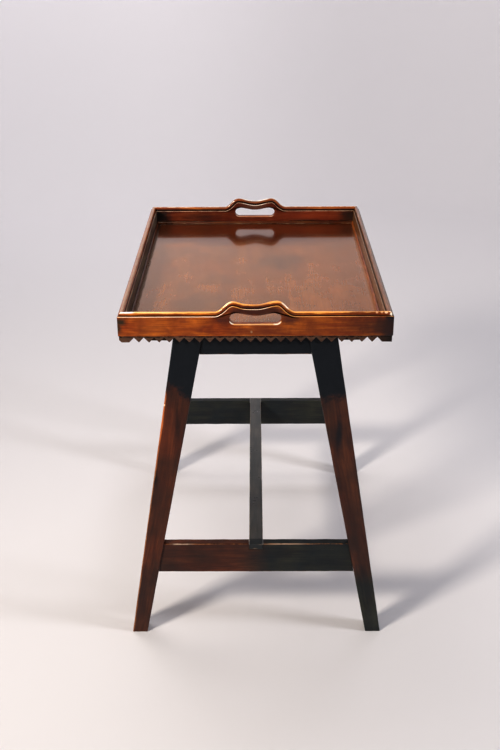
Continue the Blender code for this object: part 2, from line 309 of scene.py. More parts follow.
def brokenEdgeGroup():
    # Wear, or grime and painted shade, that spreads from where Edge is 1, as far as Amount lets it,
    # with a ragged limit
    tree, given, result = newGroup(
        "brokenEdge", {"Edge": 0.0, "Place": (0.0, 0.0, 0.0), "Amount": 0.5, "Patch Size": 0.012,
                       "Ragged": 1.2}, ("Mask",))
    patches = noise(tree, given["Place"], inverse(tree, given["Patch Size"]), 5.0, 0.65)
    ragged = times(tree, calculate(tree, "SUBTRACT", patches, 0.5), given["Ragged"])
    reach = plus(tree, plus(tree, given["Edge"], ragged), given["Amount"])
    present = remap(tree, given["Edge"], 0.0, 0.15)
    tree.links.new(times(tree, remap(tree, reach, 0.85, 1.15), present), result["Mask"])
    return tree


def cloudGroup():
    # Soft clouds, for stain that took unevenly and for hazy polish
    tree, given, result = newGroup(
        "clouds", {"Place": (0.0, 0.0, 0.0), "Size": 0.05, "Octaves": 4.0, "Low": 0.0, "High": 1.0},
        ("Value",))
    clouds = noise(tree, given["Place"], inverse(tree, given["Size"]), given["Octaves"], 0.55, 0.3)
    spread = {0: clouds, 1: 0.32, 2: 0.68, 3: given["Low"], 4: given["High"]}
    tree.links.new(addNode(tree, "MapRange", spread).outputs[0], result["Value"])
    return tree


def spotGroup():
    # A ragged oval spot: 1 in its middle, 0 where the distance and the noise together reach its limit
    tree, given, result = newGroup(
        "spot", {"Place": (0.0, 0.0, 0.0), "Middle": (0.0, 0.0, 0.0), "Reach": (0.01, 0.01, 0.01),
                 "Softness": 0.5, "Ragged Scale": 140.0}, ("Mask",))
    limit = 1.35
    away = vectorMath(tree, "SUBTRACT", given["Place"], given["Middle"])[0]
    distance = vectorMath(tree, "LENGTH", vectorMath(tree, "DIVIDE", away, given["Reach"])[0])["Value"]
    ragged = times(tree, noise(tree, given["Place"], given["Ragged Scale"], 4.0, 0.6), 0.7)
    start = calculate(tree, "SUBTRACT", limit, given["Softness"])
    tree.links.new(remap(tree, plus(tree, distance, ragged), start, limit, 1.0, 0.0), result["Mask"])
    return tree


groups = {"woodGrain": woodGrainGroup(), "brokenEdge": brokenEdgeGroup(), "clouds": cloudGroup(),
          "spot": spotGroup()}


def useGroup(tree, name, **inputs):
    values = {label.replace("_", " "): value for label, value in inputs.items()}
    return addNode(tree, "Group", values, node_tree=groups[name]).outputs


def shade(*color):
    return (*color, 1.0)


def addSpots(tree, place, spots, color, within=1.0):
    # Local spots of colour, stains and painted light and shade: middle, reach, softness, strength and
    # tone of each. A large one has a coarse edge.
    for middle, reach, softness, strength, tone in spots:
        raggedScale = min(skinSettings["spotScale"], skinSettings["spotCoarse"] / max(reach))
        mask = useGroup(tree, "spot", Place=place, Middle=middle, Reach=reach, Softness=softness,
                        Ragged_Scale=raggedScale)["Mask"]
        color = blend(tree, times(tree, times(tree, mask, within), strength), color, shade(*tone))
    return color


def makeWood(name, look):
    # Stain between three tones along streaks and bands, clouds, pores, local marks (stains, and painted
    # light and shade), grime and painted shade in the corners and grooves, then bare wood where the edges
    # are worn through, which in places stands in for a highlight. All of it also moves the roughness.
    # Painted highlights go on last, on the worn crests.
    material = bpy.data.materials.new(name)
    material.use_nodes = True
    tree = material.node_tree
    shader = tree.nodes["Principled BSDF"]
    place = addNode(tree, "TexCoord").outputs["Object"]
    board = addNode(tree, "Attribute", attribute_name="board").outputs["Vector"]
    worn, shadeAndGrime, dusk = (addNode(tree, "Attribute", attribute_name=layer).outputs["Fac"]
                         for layer in ("worn", "shadeAndGrime", "dusk"))
    octaves = look.get("cloudOctaves", 4.0)
    grain = useGroup(tree, "woodGrain", Board=board, Streak_Width=look["streakWidth"],
                     Band_Width=look["bandWidth"])
    clouds = useGroup(tree, "clouds", Place=place, Size=look["cloudSize"], Octaves=octaves)["Value"]

    def toned(color, share, tone, kind="MIX"):
        return blend(tree, share, color, shade(*look[tone]), kind)
    color = toned(shade(*look["middle"]), grain["Bands"], "light")
    color = toned(color, times(tree, grain["Streaks"], look["streakShare"]), "dark")
    color = toned(color, times(tree, clouds, look["cloudShare"]), "cloud")
    color = toned(color, dusk, "dusk", "MULTIPLY")
    color = toned(color, times(tree, grain["Pores"], look["poreShare"]), "deep")
    color = addSpots(tree, place, look.get("marks", ()), color)
    shadeAndDirt = useGroup(tree, "brokenEdge", Edge=shadeAndGrime, Place=place, Amount=look["shadeAndGrimeAmount"],
                    Patch_Size=skinSettings["shadeAndGrimePatch"], Ragged=skinSettings["shadeAndGrimeRagged"])["Mask"]
    color = toned(color, times(tree, shadeAndDirt, look["shadeAndGrimeShare"]), "deep")
    bareAndHighlight = useGroup(tree, "brokenEdge", Edge=worn, Place=place, Amount=look["wearAmount"],
                    Patch_Size=look["wearPatch"])["Mask"]
    bareShare = times(tree, bareAndHighlight, look["wearShare"])
    color = toned(color, bareShare, "bareAndHighlight")
    crest = remap(tree, worn, skinSettings["crestFrom"], skinSettings["crestFull"])
    # Painted highlights on the worn crests
    color = addSpots(tree, place, look.get("paintedHighlights", ()), color, crest)

    dull = times(tree, dusk, look.get("duskDull", 0.0))
    rough = useGroup(tree, "clouds", Place=place, Size=skinSettings["hazePatch"], Octaves=octaves,
                     Low=look["roughLow"], High=look["roughHigh"])["Value"]
    for layer, share in ((bareShare, "bareRough"), (dull, "duskRough"), (shadeAndDirt, "shadeAndGrimeRough")):
        rough = plus(tree, rough, times(tree, layer, skinSettings[share]))
    height = times(tree, noise(tree, place, skinSettings["fineScale"], 3.0), skinSettings["fineBump"])
    for layer, depth in ((grain["Streaks"], "streakBump"), (grain["Pores"], "poreBump")):
        height = plus(tree, height, times(tree, layer, skinSettings[depth]))
    bump = addNode(tree, "Bump", {
        "Height": height, "Strength": look["bump"], "Distance": skinSettings["bumpHeight"]})
    fill(tree, shader, {
        "Base Color": color, "Roughness": rough, "Normal": bump.outputs[0],
        "Coat Roughness": look["coatRoughness"], "Specular IOR Level": look["sheen"]})
    if "tint" in look:
        # a deep polish, which warms what it mirrors
        fill(tree, shader, {"Specular Tint": shade(*look["tint"])})
    if look["coat"]:
        thinned = plus(tree, dull, times(tree, shadeAndDirt, skinSettings["shadeAndGrimeDull"]))
        fill(tree, shader, {"Coat Weight": remap(tree, thinned, 0.0, 1.0, look["coat"], 0.0)})
    return material


# Finishes, in linear light

def onFace(y, depth, *spots):
    # Spots on an upright face: where it lies and how deep they reach into it, then for each spot x
    # and z of its middle, its reach in x and z, softness, strength and tone
    return tuple(((x, y, z), (wide, depth, high), softness, strength, tone)
                 for x, z, wide, high, softness, strength, tone in spots)


wallFinish = {
    "middle": (0.350, 0.078, 0.010), "light": (0.600, 0.185, 0.026), "dark": (0.110, 0.018, 0.004),
    "cloud": (0.190, 0.034, 0.007), "dusk": (0.34, 0.22, 0.22), "deep": (0.010, 0.005, 0.003),
    "bareAndHighlight": (0.80, 0.50, 0.24), "streakWidth": 0.0022, "bandWidth": 0.016, "streakShare": 0.62,
    "cloudSize": 0.045, "cloudShare": 0.7, "poreShare": 0.5, "duskDull": 0.4, "wearAmount": 0.1,
    "wearPatch": 0.02, "wearShare": 0.6, "shadeAndGrimeAmount": 0.55, "shadeAndGrimeShare": 0.95, "roughLow": 0.30,
    "roughHigh": 0.44, "coat": 1.0, "coatRoughness": 0.10, "sheen": 0.12, "bump": 0.25,
}
# The front's bare tone, amber on the bead's crest, is partly wear and partly painted highlight.
frontFinish = dict(
    wallFinish, middle=(0.330, 0.066, 0.006), light=(0.640, 0.180, 0.016), cloud=(0.130, 0.022, 0.004),
    bareAndHighlight=(0.95, 0.46, 0.12), deep=(0.030, 0.010, 0.002), cloudSize=0.022, coat=0.5, wearAmount=0.42,
    wearShare=0.85, wearPatch=0.03, marks=(
        # The face is lighter at the left end and darker to the right: partly stain, partly painted light
        # falling off from the lamp at the left. The two dark patches at the left end are stain.
        *onFace(-0.353, 0.02,
          (-0.245, 0.71, 0.014, 0.011, 0.8, 0.95, (0.024, 0.02, 0.01)),
          (-0.25, 0.698, 0.009, 0.016, 0.8, 0.9, (0.04, 0.026, 0.012)),
          (-0.19, 0.7, 0.05, 0.05, 1.2, 0.45, (0.33, 0.1, 0.016)),
          (-0.13, 0.7, 0.04, 0.06, 1.2, 0.6, (0.2, 0.04, 0.008))),
        *onFace(-0.353, 0.003,
          (0.262, 0.7, 0.056, 0.045, 0.7, 0.97, (0.013, 0.009, 0.009))),
        *onFace(-0.353, 0.0024,
          (0.254, 0.7, 0.024, 0.045, 0.4, 0.97, (0.009, 0.009, 0.012))),
        *onFace(-0.351, 0.004,
          (0.2475, 0.723, 0.0052, 0.004, 0.3, 1.0, (0.95, 0.86, 0.72))),
        *onFace(-0.353, 0.02,
          (0.232, 0.697, 0.05, 0.026, 0.9, 0.75, (0.04, 0.012, 0.008)),
          (0.11, 0.7, 0.11, 0.06, 1.1, 0.5, (0.11, 0.022, 0.005)),
          (0.222, 0.7, 0.048, 0.04, 1.1, 0.6, (0.032, 0.012, 0.008)),
          (0.19, 0.705, 0.05, 0.04, 1.0, 0.6, (0.06, 0.016, 0.006)),
          # A dark band under the shoulder above the slot: painted shade.
          (0.004, 0.731, 0.08, 0.016, 0.7, 0.9, (0.04, 0.011, 0.008)),
          (0.062, 0.716, 0.03, 0.018, 0.8, 0.8, (0.06, 0.014, 0.009)),
          (-0.058, 0.716, 0.02, 0.018, 0.8, 0.8, (0.06, 0.014, 0.009)),
          (0.012, 0.691, 0.075, 0.016, 0.9, 0.75, (0.13, 0.026, 0.008)),
          (-0.0072, 0.69, 0.003, 0.0035, 0.7, 0.9, (0.3, 0.2, 0.1))),
        *onFace(-0.348, 0.004,
          (0.22, 0.7262, 0.003, 0.0022, 0.3, 0.7, (0.9, 0.5, 0.24)),
          (0.229, 0.7262, 0.0026, 0.0022, 0.3, 0.6, (0.9, 0.54, 0.28)),
          (0.237, 0.7262, 0.0034, 0.0026, 0.3, 0.8, (1.0, 0.7, 0.44))),
    ), paintedHighlights=(
        # Painted highlights on the bead, the shoulder's edge and the slot's lips; the darker ones tone the
        # bead's highlight down.
        *onFace(-0.347, 0.009,
          (-0.185, 0.7266, 0.062, 0.006, 0.8, 0.75, (1.0, 0.66, 0.26)),
          (0.205, 0.7266, 0.044, 0.006, 0.7, 1.0, (0.3, 0.115, 0.045)),
          (-0.242, 0.7266, 0.028, 0.005, 0.5, 0.95, (1.0, 0.88, 0.84))),
        *onFace(-0.3525, 0.003,
          (-0.165, 0.72, 0.12, 0.004, 0.4, 0.9, (1.0, 0.84, 0.66)),
          (-0.078, 0.722, 0.02, 0.006, 0.5, 0.9, (1.0, 0.82, 0.7)),
          (0.12, 0.72, 0.09, 0.004, 0.8, 0.6, (0.75, 0.42, 0.22)),
          (0.21, 0.72, 0.05, 0.004, 0.8, 0.8, (0.42, 0.32, 0.26))),
        *onFace(-0.347, 0.009,
          (0.01, 0.741, 0.03, 0.008, 0.7, 0.8, (0.5, 0.2, 0.06)),
          (-0.05, 0.741, 0.016, 0.01, 0.6, 0.9, (1.0, 0.8, 0.5)),
          (0.054, 0.739, 0.013, 0.01, 0.5, 0.9, (1.0, 0.88, 0.7))),
        *onFace(-0.353, 0.003,
          (-0.06, 0.725, 0.03, 0.015, 0.6, 0.9, (1.0, 0.8, 0.66)),
          (0.01, 0.734, 0.04, 0.006, 0.6, 0.9, (1.0, 0.8, 0.66))),
        *onFace(-0.351, 0.005,
          (-0.043, 0.708, 0.008, 0.005, 0.5, 1.0, (1.0, 0.93, 0.8)),
          (0.0, 0.705, 0.06, 0.005, 0.7, 0.7, (0.65, 0.42, 0.24)),
          (0.042, 0.706, 0.012, 0.006, 0.5, 0.9, (1.0, 0.9, 0.74))),
        *onFace(-0.347, 0.01,
          (0.248, 0.725, 0.007, 0.005, 0.3, 1.0, (1.0, 0.92, 0.8))),
    ))
# The left wall's dark grey-green dusk tone is painted shade on its unlit inner side, over a dull
# grey-green polish.
leftFinish = dict(
    wallFinish, dusk=(0.33, 0.92, 4.4), duskDull=1.0, bareAndHighlight=(0.36, 0.22, 0.13), wearAmount=0.4,
    wearShare=0.75, coatRoughness=0.25)
rightFinish = dict(
    wallFinish, middle=(0.230, 0.082, 0.030), light=(0.330, 0.135, 0.050), dark=(0.080, 0.030, 0.014),
    cloud=(0.120, 0.044, 0.018), dusk=(0.72, 0.86, 0.90), bareAndHighlight=(0.46, 0.31, 0.20), wearAmount=0.3,
    coatRoughness=0.2)
backFinish = dict(
    wallFinish, dusk=(0.43, 0.31, 0.58), bareAndHighlight=(0.92, 0.68, 0.46), wearAmount=0.08, wearPatch=0.014,
    wearShare=0.7, marks=(
        *onFace(0.339, 0.004,
          (0.13, 0.705, 0.11, 0.02, 0.9, 0.7, (0.25, 0.042, 0.012)),
          (0.0, 0.726, 0.05, 0.016, 0.7, 0.75, (0.11, 0.05, 0.034))),
        # The bead's flank is darker: partly dark patina, partly painted shade.
        *onFace(0.346, 0.006,
          (0.0, 0.742, 0.05, 0.004, 0.5, 0.8, (0.06, 0.034, 0.02))),
        *onFace(0.339, 0.004,
          (-0.236, 0.705, 0.046, 0.03, 0.8, 0.9, (0.01, 0.015, 0.014)),
          (0.236, 0.705, 0.046, 0.026, 0.8, 0.85, (0.014, 0.014, 0.012)),
          (0.12, 0.695, 0.06, 0.008, 1.0, 0.6, (0.02, 0.01, 0.006)),
          (-0.13, 0.704, 0.07, 0.018, 1.1, 0.6, (0.024, 0.01, 0.006))),
        *onFace(0.3465, 0.005,
          (0.0, 0.732, 0.28, 0.024, 0.5, 0.7, (0.17, 0.085, 0.05))),
    ), paintedHighlights=(
        # Painted highlights on the bead and the inner shoulder's edge; the darker last one tones the
        # slot's lip down.
        *onFace(0.3465, 0.0048,
          (0.0, 0.745, 0.046, 0.006, 0.5, 0.95, (1.0, 0.9, 0.78))),
        *onFace(0.3393, 0.0022,
          (0.0, 0.7345, 0.044, 0.006, 0.5, 0.9, (1.0, 0.88, 0.76)),
          (0.15, 0.72, 0.11, 0.003, 1.1, 0.7, (0.7, 0.5, 0.38))),
        *onFace(0.3465, 0.006,
          (-0.2, 0.729, 0.03, 0.003, 0.4, 0.5, (1.0, 0.8, 0.62)),
          (-0.1, 0.729, 0.024, 0.003, 0.4, 0.5, (1.0, 0.84, 0.7)),
          (0.15, 0.729, 0.11, 0.003, 1.0, 0.6, (0.4, 0.26, 0.18))),
        *onFace(0.3393, 0.004,
          (0.0, 0.705, 0.05, 0.0036, 0.5, 0.8, (0.46, 0.15, 0.06))),
    ))
coveFinish = dict(
    wallFinish, dusk=(0.14, 0.14, 0.25), bareAndHighlight=(0.70, 0.50, 0.30), wearAmount=0.15, wearPatch=0.03,
    wearShare=0.8, coat=0.6, coatRoughness=0.25)
panelFinish = {
    "middle": (0.260, 0.078, 0.010), "light": (0.330, 0.106, 0.013), "dark": (0.130, 0.040, 0.008),
    "cloud": (0.110, 0.048, 0.015), "dusk": (0.5, 0.4, 0.4), "deep": (0.020, 0.008, 0.005),
    "bareAndHighlight": (0.40, 0.20, 0.10), "streakWidth": 0.0035, "bandWidth": 0.03, "streakShare": 0.32,
    "cloudSize": 0.05, "cloudOctaves": 3.0, "cloudShare": 0.55, "poreShare": 0.3, "wearAmount": 0.0,
    "wearPatch": 0.02, "wearShare": 0.0, "shadeAndGrimeAmount": 0.45, "shadeAndGrimeShare": 0.7, "roughLow": 0.12,
    "roughHigh": 0.135, "coat": 0.45, "coatRoughness": 0.04, "sheen": 1.0, "bump": 0.06,
    "tint": (1.0, 0.62, 0.36), "marks": (
        ((0.180, -0.050, 0.692), (0.160, 0.500, 0.05), 1.1, 0.4, (0.340, 0.100, 0.012)),
        # A painted reflection of the back wall along the back of the panel.
        ((0.0, 0.330, 0.692), (0.600, 0.200, 0.05), 0.5, 0.85, (0.060, 0.010, 0.004)),
        ((-0.110, -0.190, 0.692), (0.110, 0.090, 0.05), 1.0, 0.6, (0.080, 0.044, 0.022)),
        ((0.060, 0.040, 0.692), (0.070, 0.100, 0.05), 1.0, 0.6, (0.070, 0.034, 0.018)),
        ((0.240, 0.0, 0.692), (0.024, 0.420, 0.05), 0.9, 0.7, (0.420, 0.200, 0.110)),
        # The dark left margin is painted shade of the left wall.
        ((-0.242, 0.0, 0.692), (0.022, 0.420, 0.05), 0.8, 0.6, (0.034, 0.044, 0.032)),
    ),
}
apronFinish = dict(
    wallFinish, middle=(0.095, 0.048, 0.030), light=(0.160, 0.085, 0.055), dark=(0.040, 0.020, 0.014),
    cloud=(0.045, 0.022, 0.015), bareAndHighlight=(0.36, 0.20, 0.11), shadeAndGrimeAmount=0.4, coat=0.0, coatRoughness=0.35,
    roughLow=0.5, roughHigh=0.68, sheen=0.2, bump=0.5,
    marks=onFace(-0.350, 0.02, (0.262, 0.678, 0.045, 0.03, 0.6, 0.95, (0.014, 0.009, 0.008))))
undersideFinish = dict(
    apronFinish, middle=(0.250, 0.130, 0.068), light=(0.330, 0.185, 0.100), dark=(0.140, 0.066, 0.036),
    cloud=(0.160, 0.085, 0.050), bareAndHighlight=(0.38, 0.24, 0.15), roughLow=0.68, roughHigh=0.85)
# The stand's dusk tone greys and cools the wood: painted shade.
standFinish = dict(
    wallFinish, middle=(0.088, 0.021, 0.0095), light=(0.150, 0.038, 0.0135), dark=(0.024, 0.010, 0.008),
    cloud=(0.030, 0.014, 0.010), dusk=(0.24, 0.95, 1.9), deep=(0.004, 0.0068, 0.0115),
    bareAndHighlight=(0.40, 0.17, 0.065), streakWidth=0.003, bandWidth=0.018, streakShare=0.5, cloudSize=0.06,
    cloudShare=0.75, wearAmount=0.0, wearPatch=0.014, shadeAndGrimeAmount=0.4, shadeAndGrimeShare=1.0, coat=0.0,
    coatRoughness=0.3, roughHigh=0.5, sheen=0.3, bump=0.4, marks=(
        *onFace(-0.339, 0.02,
          # Darker strips along the front legs' inner edges: painted shade.
          (-0.197, 0.375, 0.008, 0.03, 0.9, 0.9, (0.012, 0.006, 0.005)),
          (-0.15, 0.5, 0.008, 0.07, 1.0, 0.8, (0.016, 0.006, 0.005)),
          (0.16, 0.47, 0.01, 0.06, 0.9, 0.9, (0.008, 0.008, 0.012)),
          (0.25, 0.04, 0.03, 0.05, 0.9, 0.5, (0.045, 0.05, 0.04)),
          # The near left leg's outer side is lighter and redder: painted light from the left.
          (-0.18, 0.48, 0.034, 0.1, 1.2, 0.6, (0.165, 0.036, 0.012))),
    ), paintedHighlights=(
        # Painted highlights on the near left leg's outer edge, lit from the left, and on the lower rail's
        # top edge.
        *onFace(-0.3395, 0.006,
          (-0.182, 0.51, 0.03, 0.075, 0.6, 0.8, (0.55, 0.16, 0.04)),
          (-0.2, 0.43, 0.03, 0.06, 1.0, 0.7, (0.42, 0.13, 0.04)),
          (-0.1755, 0.535, 0.008, 0.003, 0.5, 1.0, (0.95, 0.6, 0.35))),
        *onFace(-0.3355, 0.004,
          (-0.15, 0.218, 0.03, 0.005, 0.8, 0.8, (0.6, 0.45, 0.34)),
          (0.06, 0.218, 0.07, 0.005, 1.0, 0.8, (0.5, 0.34, 0.24))),
    ))
# The stretcher's grey is partly dust and partly painted sheen of the pale wall on its top; the dusk tone
# gives its sides back their brown.
stretcherFinish = dict(
    standFinish, middle=(0.048, 0.051, 0.050), light=(0.086, 0.078, 0.070), dark=(0.020, 0.021, 0.021),
    cloud=(0.034, 0.039, 0.041), deep=(0.008, 0.012, 0.014), dusk=(0.9, 0.42, 0.28),
    bareAndHighlight=(0.30, 0.20, 0.13), cloudShare=0.6, sheen=0.6, roughLow=0.26, roughHigh=0.4)

polishedFront = makeWood("polishedFront", frontFinish)
polishedLeft = makeWood("polishedLeft", leftFinish)
polishedRight = makeWood("polishedRight", rightFinish)
polishedBack = makeWood("polishedBack", backFinish)
polishedCove = makeWood("polishedCove", coveFinish)
polishedPanel = makeWood("polishedPanel", panelFinish)
dullApron = makeWood("dullApron", apronFinish)
bareUnderside = makeWood("bareUnderside", undersideFinish)
darkStand = makeWood("darkStand", standFinish)
greyStretcher = makeWood("greyStretcher", stretcherFinish)
print("finishes made")


# The tray's walls, coves and aprons are strips along its four edges. A strip's points run along
# the edge, inwards from the tray's outer face, and up from its underside.

glueGap = 0.0003
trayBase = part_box("tray_floor")[0].z
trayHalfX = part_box("side_wall_right")[1].x
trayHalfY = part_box("end_wall_back")[1].y
mitreGap = glueGap / 2 ** 0.5
trayEdges = {     # quarter turns to the edge, half its length, and how far it lies from the middle
    "front": (0, trayHalfX, trayHalfY), "right": (1, trayHalfY, trayHalfX),
    "back": (2, trayHalfX, trayHalfY), "left": (3, trayHalfY, trayHalfX)}


def onTrayEdge(edge):
    # turns a strip by quarter turns to its edge of the tray
    turns, _, distance = trayEdges[edge]
    c, s = round(cos(turns * pi / 2)), round(sin(turns * pi / 2))

    def place(local):
        along, inward, up = local[:, 0], local[:, 1] - distance, local[:, 2]
        return np.stack([along * c - inward * s, along * s + inward * c, trayBase + up], 1)
    return place


def mitredRun(edge, share, inward):
    # how far along the edge a point lies, for a share from -1 to 1 of the mitred length
    return share * (trayEdges[edge][1] - inward - mitreGap)


wall = {
    "thickness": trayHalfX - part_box("side_wall_right")[0].x,
    "seat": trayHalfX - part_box("tray_floor")[1].x - glueGap,       # outer face to the rebate
    "ceiling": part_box("tray_floor")[1].z - trayBase + glueGap,     # underside to the rebate's roof
    "height": 0.0387,        # underside to the shoulders beside the bead
    "shoulder": 0.00275,
    "bead": 0.007,
    "fullness": 0.8,         # of the bead: 1 is an ellipse, less is squarer
    "lowerEase": 0.0018,     # radius of the lower outer edge
    "shoulderEase": 0.0012,  # radius of the shoulders' edges
    "innerDrop": 0.0018,     # how much lower the inner shoulder is
    "faceSteps": 16,
    "beadSteps": 22,
    "unevenness": 0.00018,
    "flatShare": 0.8,        # of the shoulder, where the groove beside the bead begins
    "groove": 0.32,          # share of the bead's height up to which the groove is darkened: grime and painted shade
    "duskEnd": 0.97,         # share of the thickness where the shaded inner side is full
    "slopeStep": 0.0004,
    "rimReach": 0.006,       # how far the darkening along the floor reaches up the inner face
}
archFront = (   # along the wall, rise and slope of the shoulder line
    (-0.0745, 0.0, 0.0), (-0.0570, 0.0086, 0.88), (-0.0415, 0.0199, 0.0), (-0.0220, 0.0149, -0.15),
    (0.0030, 0.0139, 0.0), (0.0400, 0.0207, 0.0), (0.0553, 0.0084, -0.95), (0.0740, 0.0, 0.0))
archBack = (
    (-0.0740, 0.0, 0.0), (-0.0560, 0.0084, 0.9), (-0.0405, 0.0204, 0.0), (0.0, 0.0139, 0.0),
    (0.0405, 0.0204, 0.0), (0.0560, 0.0084, -0.9), (0.0740, 0.0, 0.0))
slot = {
    "width": 0.094, "height": 0.0201, "middle": 0.03425,
    "dip": 0.0049,           # how far its top hangs down in the middle
    "mouth": 0.0035,         # radius of its rounded mouths
    "reach": 0.080,          # half the slotted stretch of the wall
    "held": 0.0022,          # how close the last ring of points runs to the wall's edges
    "lipWearAndHighlight": 1.4,
    "leastLip": 0.15,        # share of that wear and highlight on the part of the mouth that faces down
    "bottomSteps": 30, "topSteps": 72,
}


def archRise(along, knots):
    # cubic stretches between knots, each with its own height and slope, and flat outside them
    if not knots:
        return np.zeros_like(along)
    at, rise, slope = np.array(knots).T
    t = np.clip(along, at[0], at[-1])
    here = np.clip(np.searchsorted(at, t, side="right") - 1, 0, len(at) - 2)
    span = at[here + 1] - at[here]
    u = (t - at[here]) / span
    return ((2 * u ** 3 - 3 * u ** 2 + 1) * rise[here] + (u ** 3 - 2 * u ** 2 + u) * span * slope[here]
            + (3 * u ** 2 - 2 * u ** 3) * rise[here + 1] + (u ** 3 - u ** 2) * span * slope[here + 1])


wallWearAndShade = {    # crest and inner edge worn, outer edge darkened (painted shade on the right wall's outer flank), how far the wear fades to the right, and the share of the wall's thickness at which its shaded inner side begins
                # the share of the wall's thickness at which its shaded inner side begins
    "front": {"crest": 1.0, "inner": 0.3, "darkened": 0.0, "fade": 0.5, "dusk": 0.72},
    "back": {"crest": 1.0, "inner": 1.1, "darkened": 0.0, "fade": 0.0, "dusk": 0.72},
    "left": {"crest": 0.8, "inner": 0.4, "darkened": 0.0, "fade": 0.0, "dusk": 0.85},
    "right": {"crest": 0.4, "inner": 0.8, "darkened": 1.0, "fade": 0.0, "dusk": 0.72},
}
# The front bead's bare tone, partly a painted highlight, fades to the right, away from the lamp at the
# left.
fading = {"start": 0.150, "span": 0.080, "chip": 0.251, "chipReach": 0.006}


def topProfile(wear):
    # inward, above the shoulder, worn, shade and grime: outer edge, bead (a superellipse), lower inner
    # edge
    half, drop = wall["thickness"] / 2, wall["innerDrop"]
    edgeIn, edgeDown, edgeWorn = rounding(wall["shoulderEase"], 5)
    turn = evenSteps(pi, 0, wall["beadSteps"])
    across = np.sign(np.cos(turn)) * np.abs(np.cos(turn)) ** wall["fullness"]
    crest = np.sin(turn) ** wall["fullness"]
    nearBead = wall["shoulder"] * wall["flatShare"]
    inward = joined(edgeIn, [nearBead], half + (half - wall["shoulder"]) * across,
                    [2 * half - nearBead], 2 * half - edgeIn[::-1])
    above = joined(-edgeDown, [0.0], wall["bead"] * crest, [-drop], -edgeDown[::-1] - drop)
    worn = joined(edgeWorn, [0.0], wear["crest"] * crest ** 2, [0.0], wear["inner"] * edgeWorn)
    # The groove under the bead is darkened: grime, and painted shade under the bead's flank
    groove = np.exp(-(crest / wall["groove"]) ** 4)
    shadeAndGrime = joined(np.full(6, wear["darkened"]), [0.8], groove, [0.5], np.zeros(6))
    return inward, above, worn, shadeAndGrime


topInward = topProfile(wallWearAndShade["front"])[0]       # the same for all four walls


def wallTop(along, knots, seed, wear):
    # carries the top profile along the shoulder line, square to its slope
    inward, above, worn, shadeAndGrime = topProfile(wear)
    step = wall["slopeStep"]
    slope = (archRise(along + step, knots) - archRise(along - step, knots)) / (2 * step)
    angle = np.arctan(slope)
    above = above + ramp(above, 0, wall["bead"]) * waver(along, seed, wall["unevenness"], 0.11)
    dusk = ramp(inward / wall["thickness"], wear["dusk"], wall["duskEnd"] - wear["dusk"])
    chipped = bell(along - fading["chip"], fading["chipReach"]) if wear["fade"] else 0.0
    faded = ramp(along, fading["start"], fading["span"]) * (1 - chipped)
    up = wall["height"] + archRise(along, knots) + above * np.cos(angle)
    return patchOf(along - above * np.sin(angle), inward, up, worn * (1 - wear["fade"] * faded),
                   shadeAndGrime * (1 - chipped), dusk)


def wallFoot():
    # inner face's lower edge, rebate, underside and the eased lower outer edge
    edgeUp, edgeIn, edgeWorn = rounding(wall["lowerEase"], 5)
    seat, ceiling = wall["seat"], wall["ceiling"]
    inward = joined([wall["thickness"], seat, seat], edgeIn)
    up = joined([ceiling, ceiling, 0.0], edgeUp)
    return inward, up, joined(np.zeros(3), 0.4 * edgeWorn)


def stretchPatches(edge, shares, knots, seed):
    # all four sides of a stretch of wall without a slot, from one share of its length to another
    ease, ceiling, thickness = wall["shoulderEase"], wall["ceiling"], wall["thickness"]
    high = wall["height"] - ease
    column = shares[:, None]
    top = wallTop(mitredRun(edge, column, topInward), knots, seed, wallWearAndShade[edge])
    footIn, footUp, footWorn = wallFoot()
    foot = patchOf(mitredRun(edge, column, footIn), footIn, footUp, footWorn)
    outerUp = heldSteps(wall["lowerEase"], high, wall["faceSteps"], ease)
    innerUp = heldSteps(ceiling, high - wall["innerDrop"], wall["faceSteps"], ease)
    outer = patchOf(mitredRun(edge, column, 0.0), 0.0, outerUp)
    inner = patchOf(mitredRun(edge, column, thickness), thickness, innerUp, 0.0,
                    bell(innerUp - ceiling, wall["rimReach"]), 1.0)
    caps = [joined(outer[end, :-1], top[end, :-1], inner[end, :0:-1], foot[end, :-1])
            for end in (0, -1) if abs(shares[end]) == 1]
    return [outer, top, inner, foot], caps


def makeSideWall(edge, seed, material):
    patches, caps = stretchPatches(edge, evenSteps(-1, 1, 120), (), seed)
    makePiece(edge + "_side_wall", "side_wall_" + edge, patches, caps,
              onTrayEdge(edge), boardOf(seed), material)


def slotLoop(growth):
    # the slot's outline: straight bottom, round end, hollow top, round end, grown on all sides
    radius = slot["height"] / 2 + growth
    straight = (slot["width"] - slot["height"]) / 2
    bottom = evenSteps(-straight, straight, slot["bottomSteps"])[:-1]
    turn = evenSteps(-pi / 2, pi / 2, wall["faceSteps"])[:-1]
    share = evenSteps(1, -1, slot["topSteps"])[:-1]
    hollow = slot["dip"] * (1 - np.cos(pi * (1 - np.abs(share)))) / 2
    along = joined(bottom, straight + radius * np.cos(turn), straight * share,
                   -straight - radius * np.cos(turn))
    up = joined(np.full_like(bottom, -radius), radius * np.sin(turn), radius - hollow,
                -radius * np.sin(turn)) + slot["middle"]
    return np.append(along, along[0]), np.append(up, up[0])


def faceLoop(low, topLine):
    # the outline of the slotted stretch of a face, in as many steps as the slot's
    reach, high = slot["reach"], topLine[0, 1]
    sideUp = heldSteps(low, high, wall["faceSteps"], wall["shoulderEase"])
    bottom = evenSteps(-reach, reach, slot["bottomSteps"])[:-1]
    topAlong, topUp = topLine[:0:-1].T
    side = np.full(wall["faceSteps"], reach)
    along = joined(bottom, side, topAlong, -side)
    up = joined(np.full_like(bottom, low), sideUp[:-1], topUp, sideUp[:0:-1])
    return np.append(along, along[0]), np.append(up, up[0])


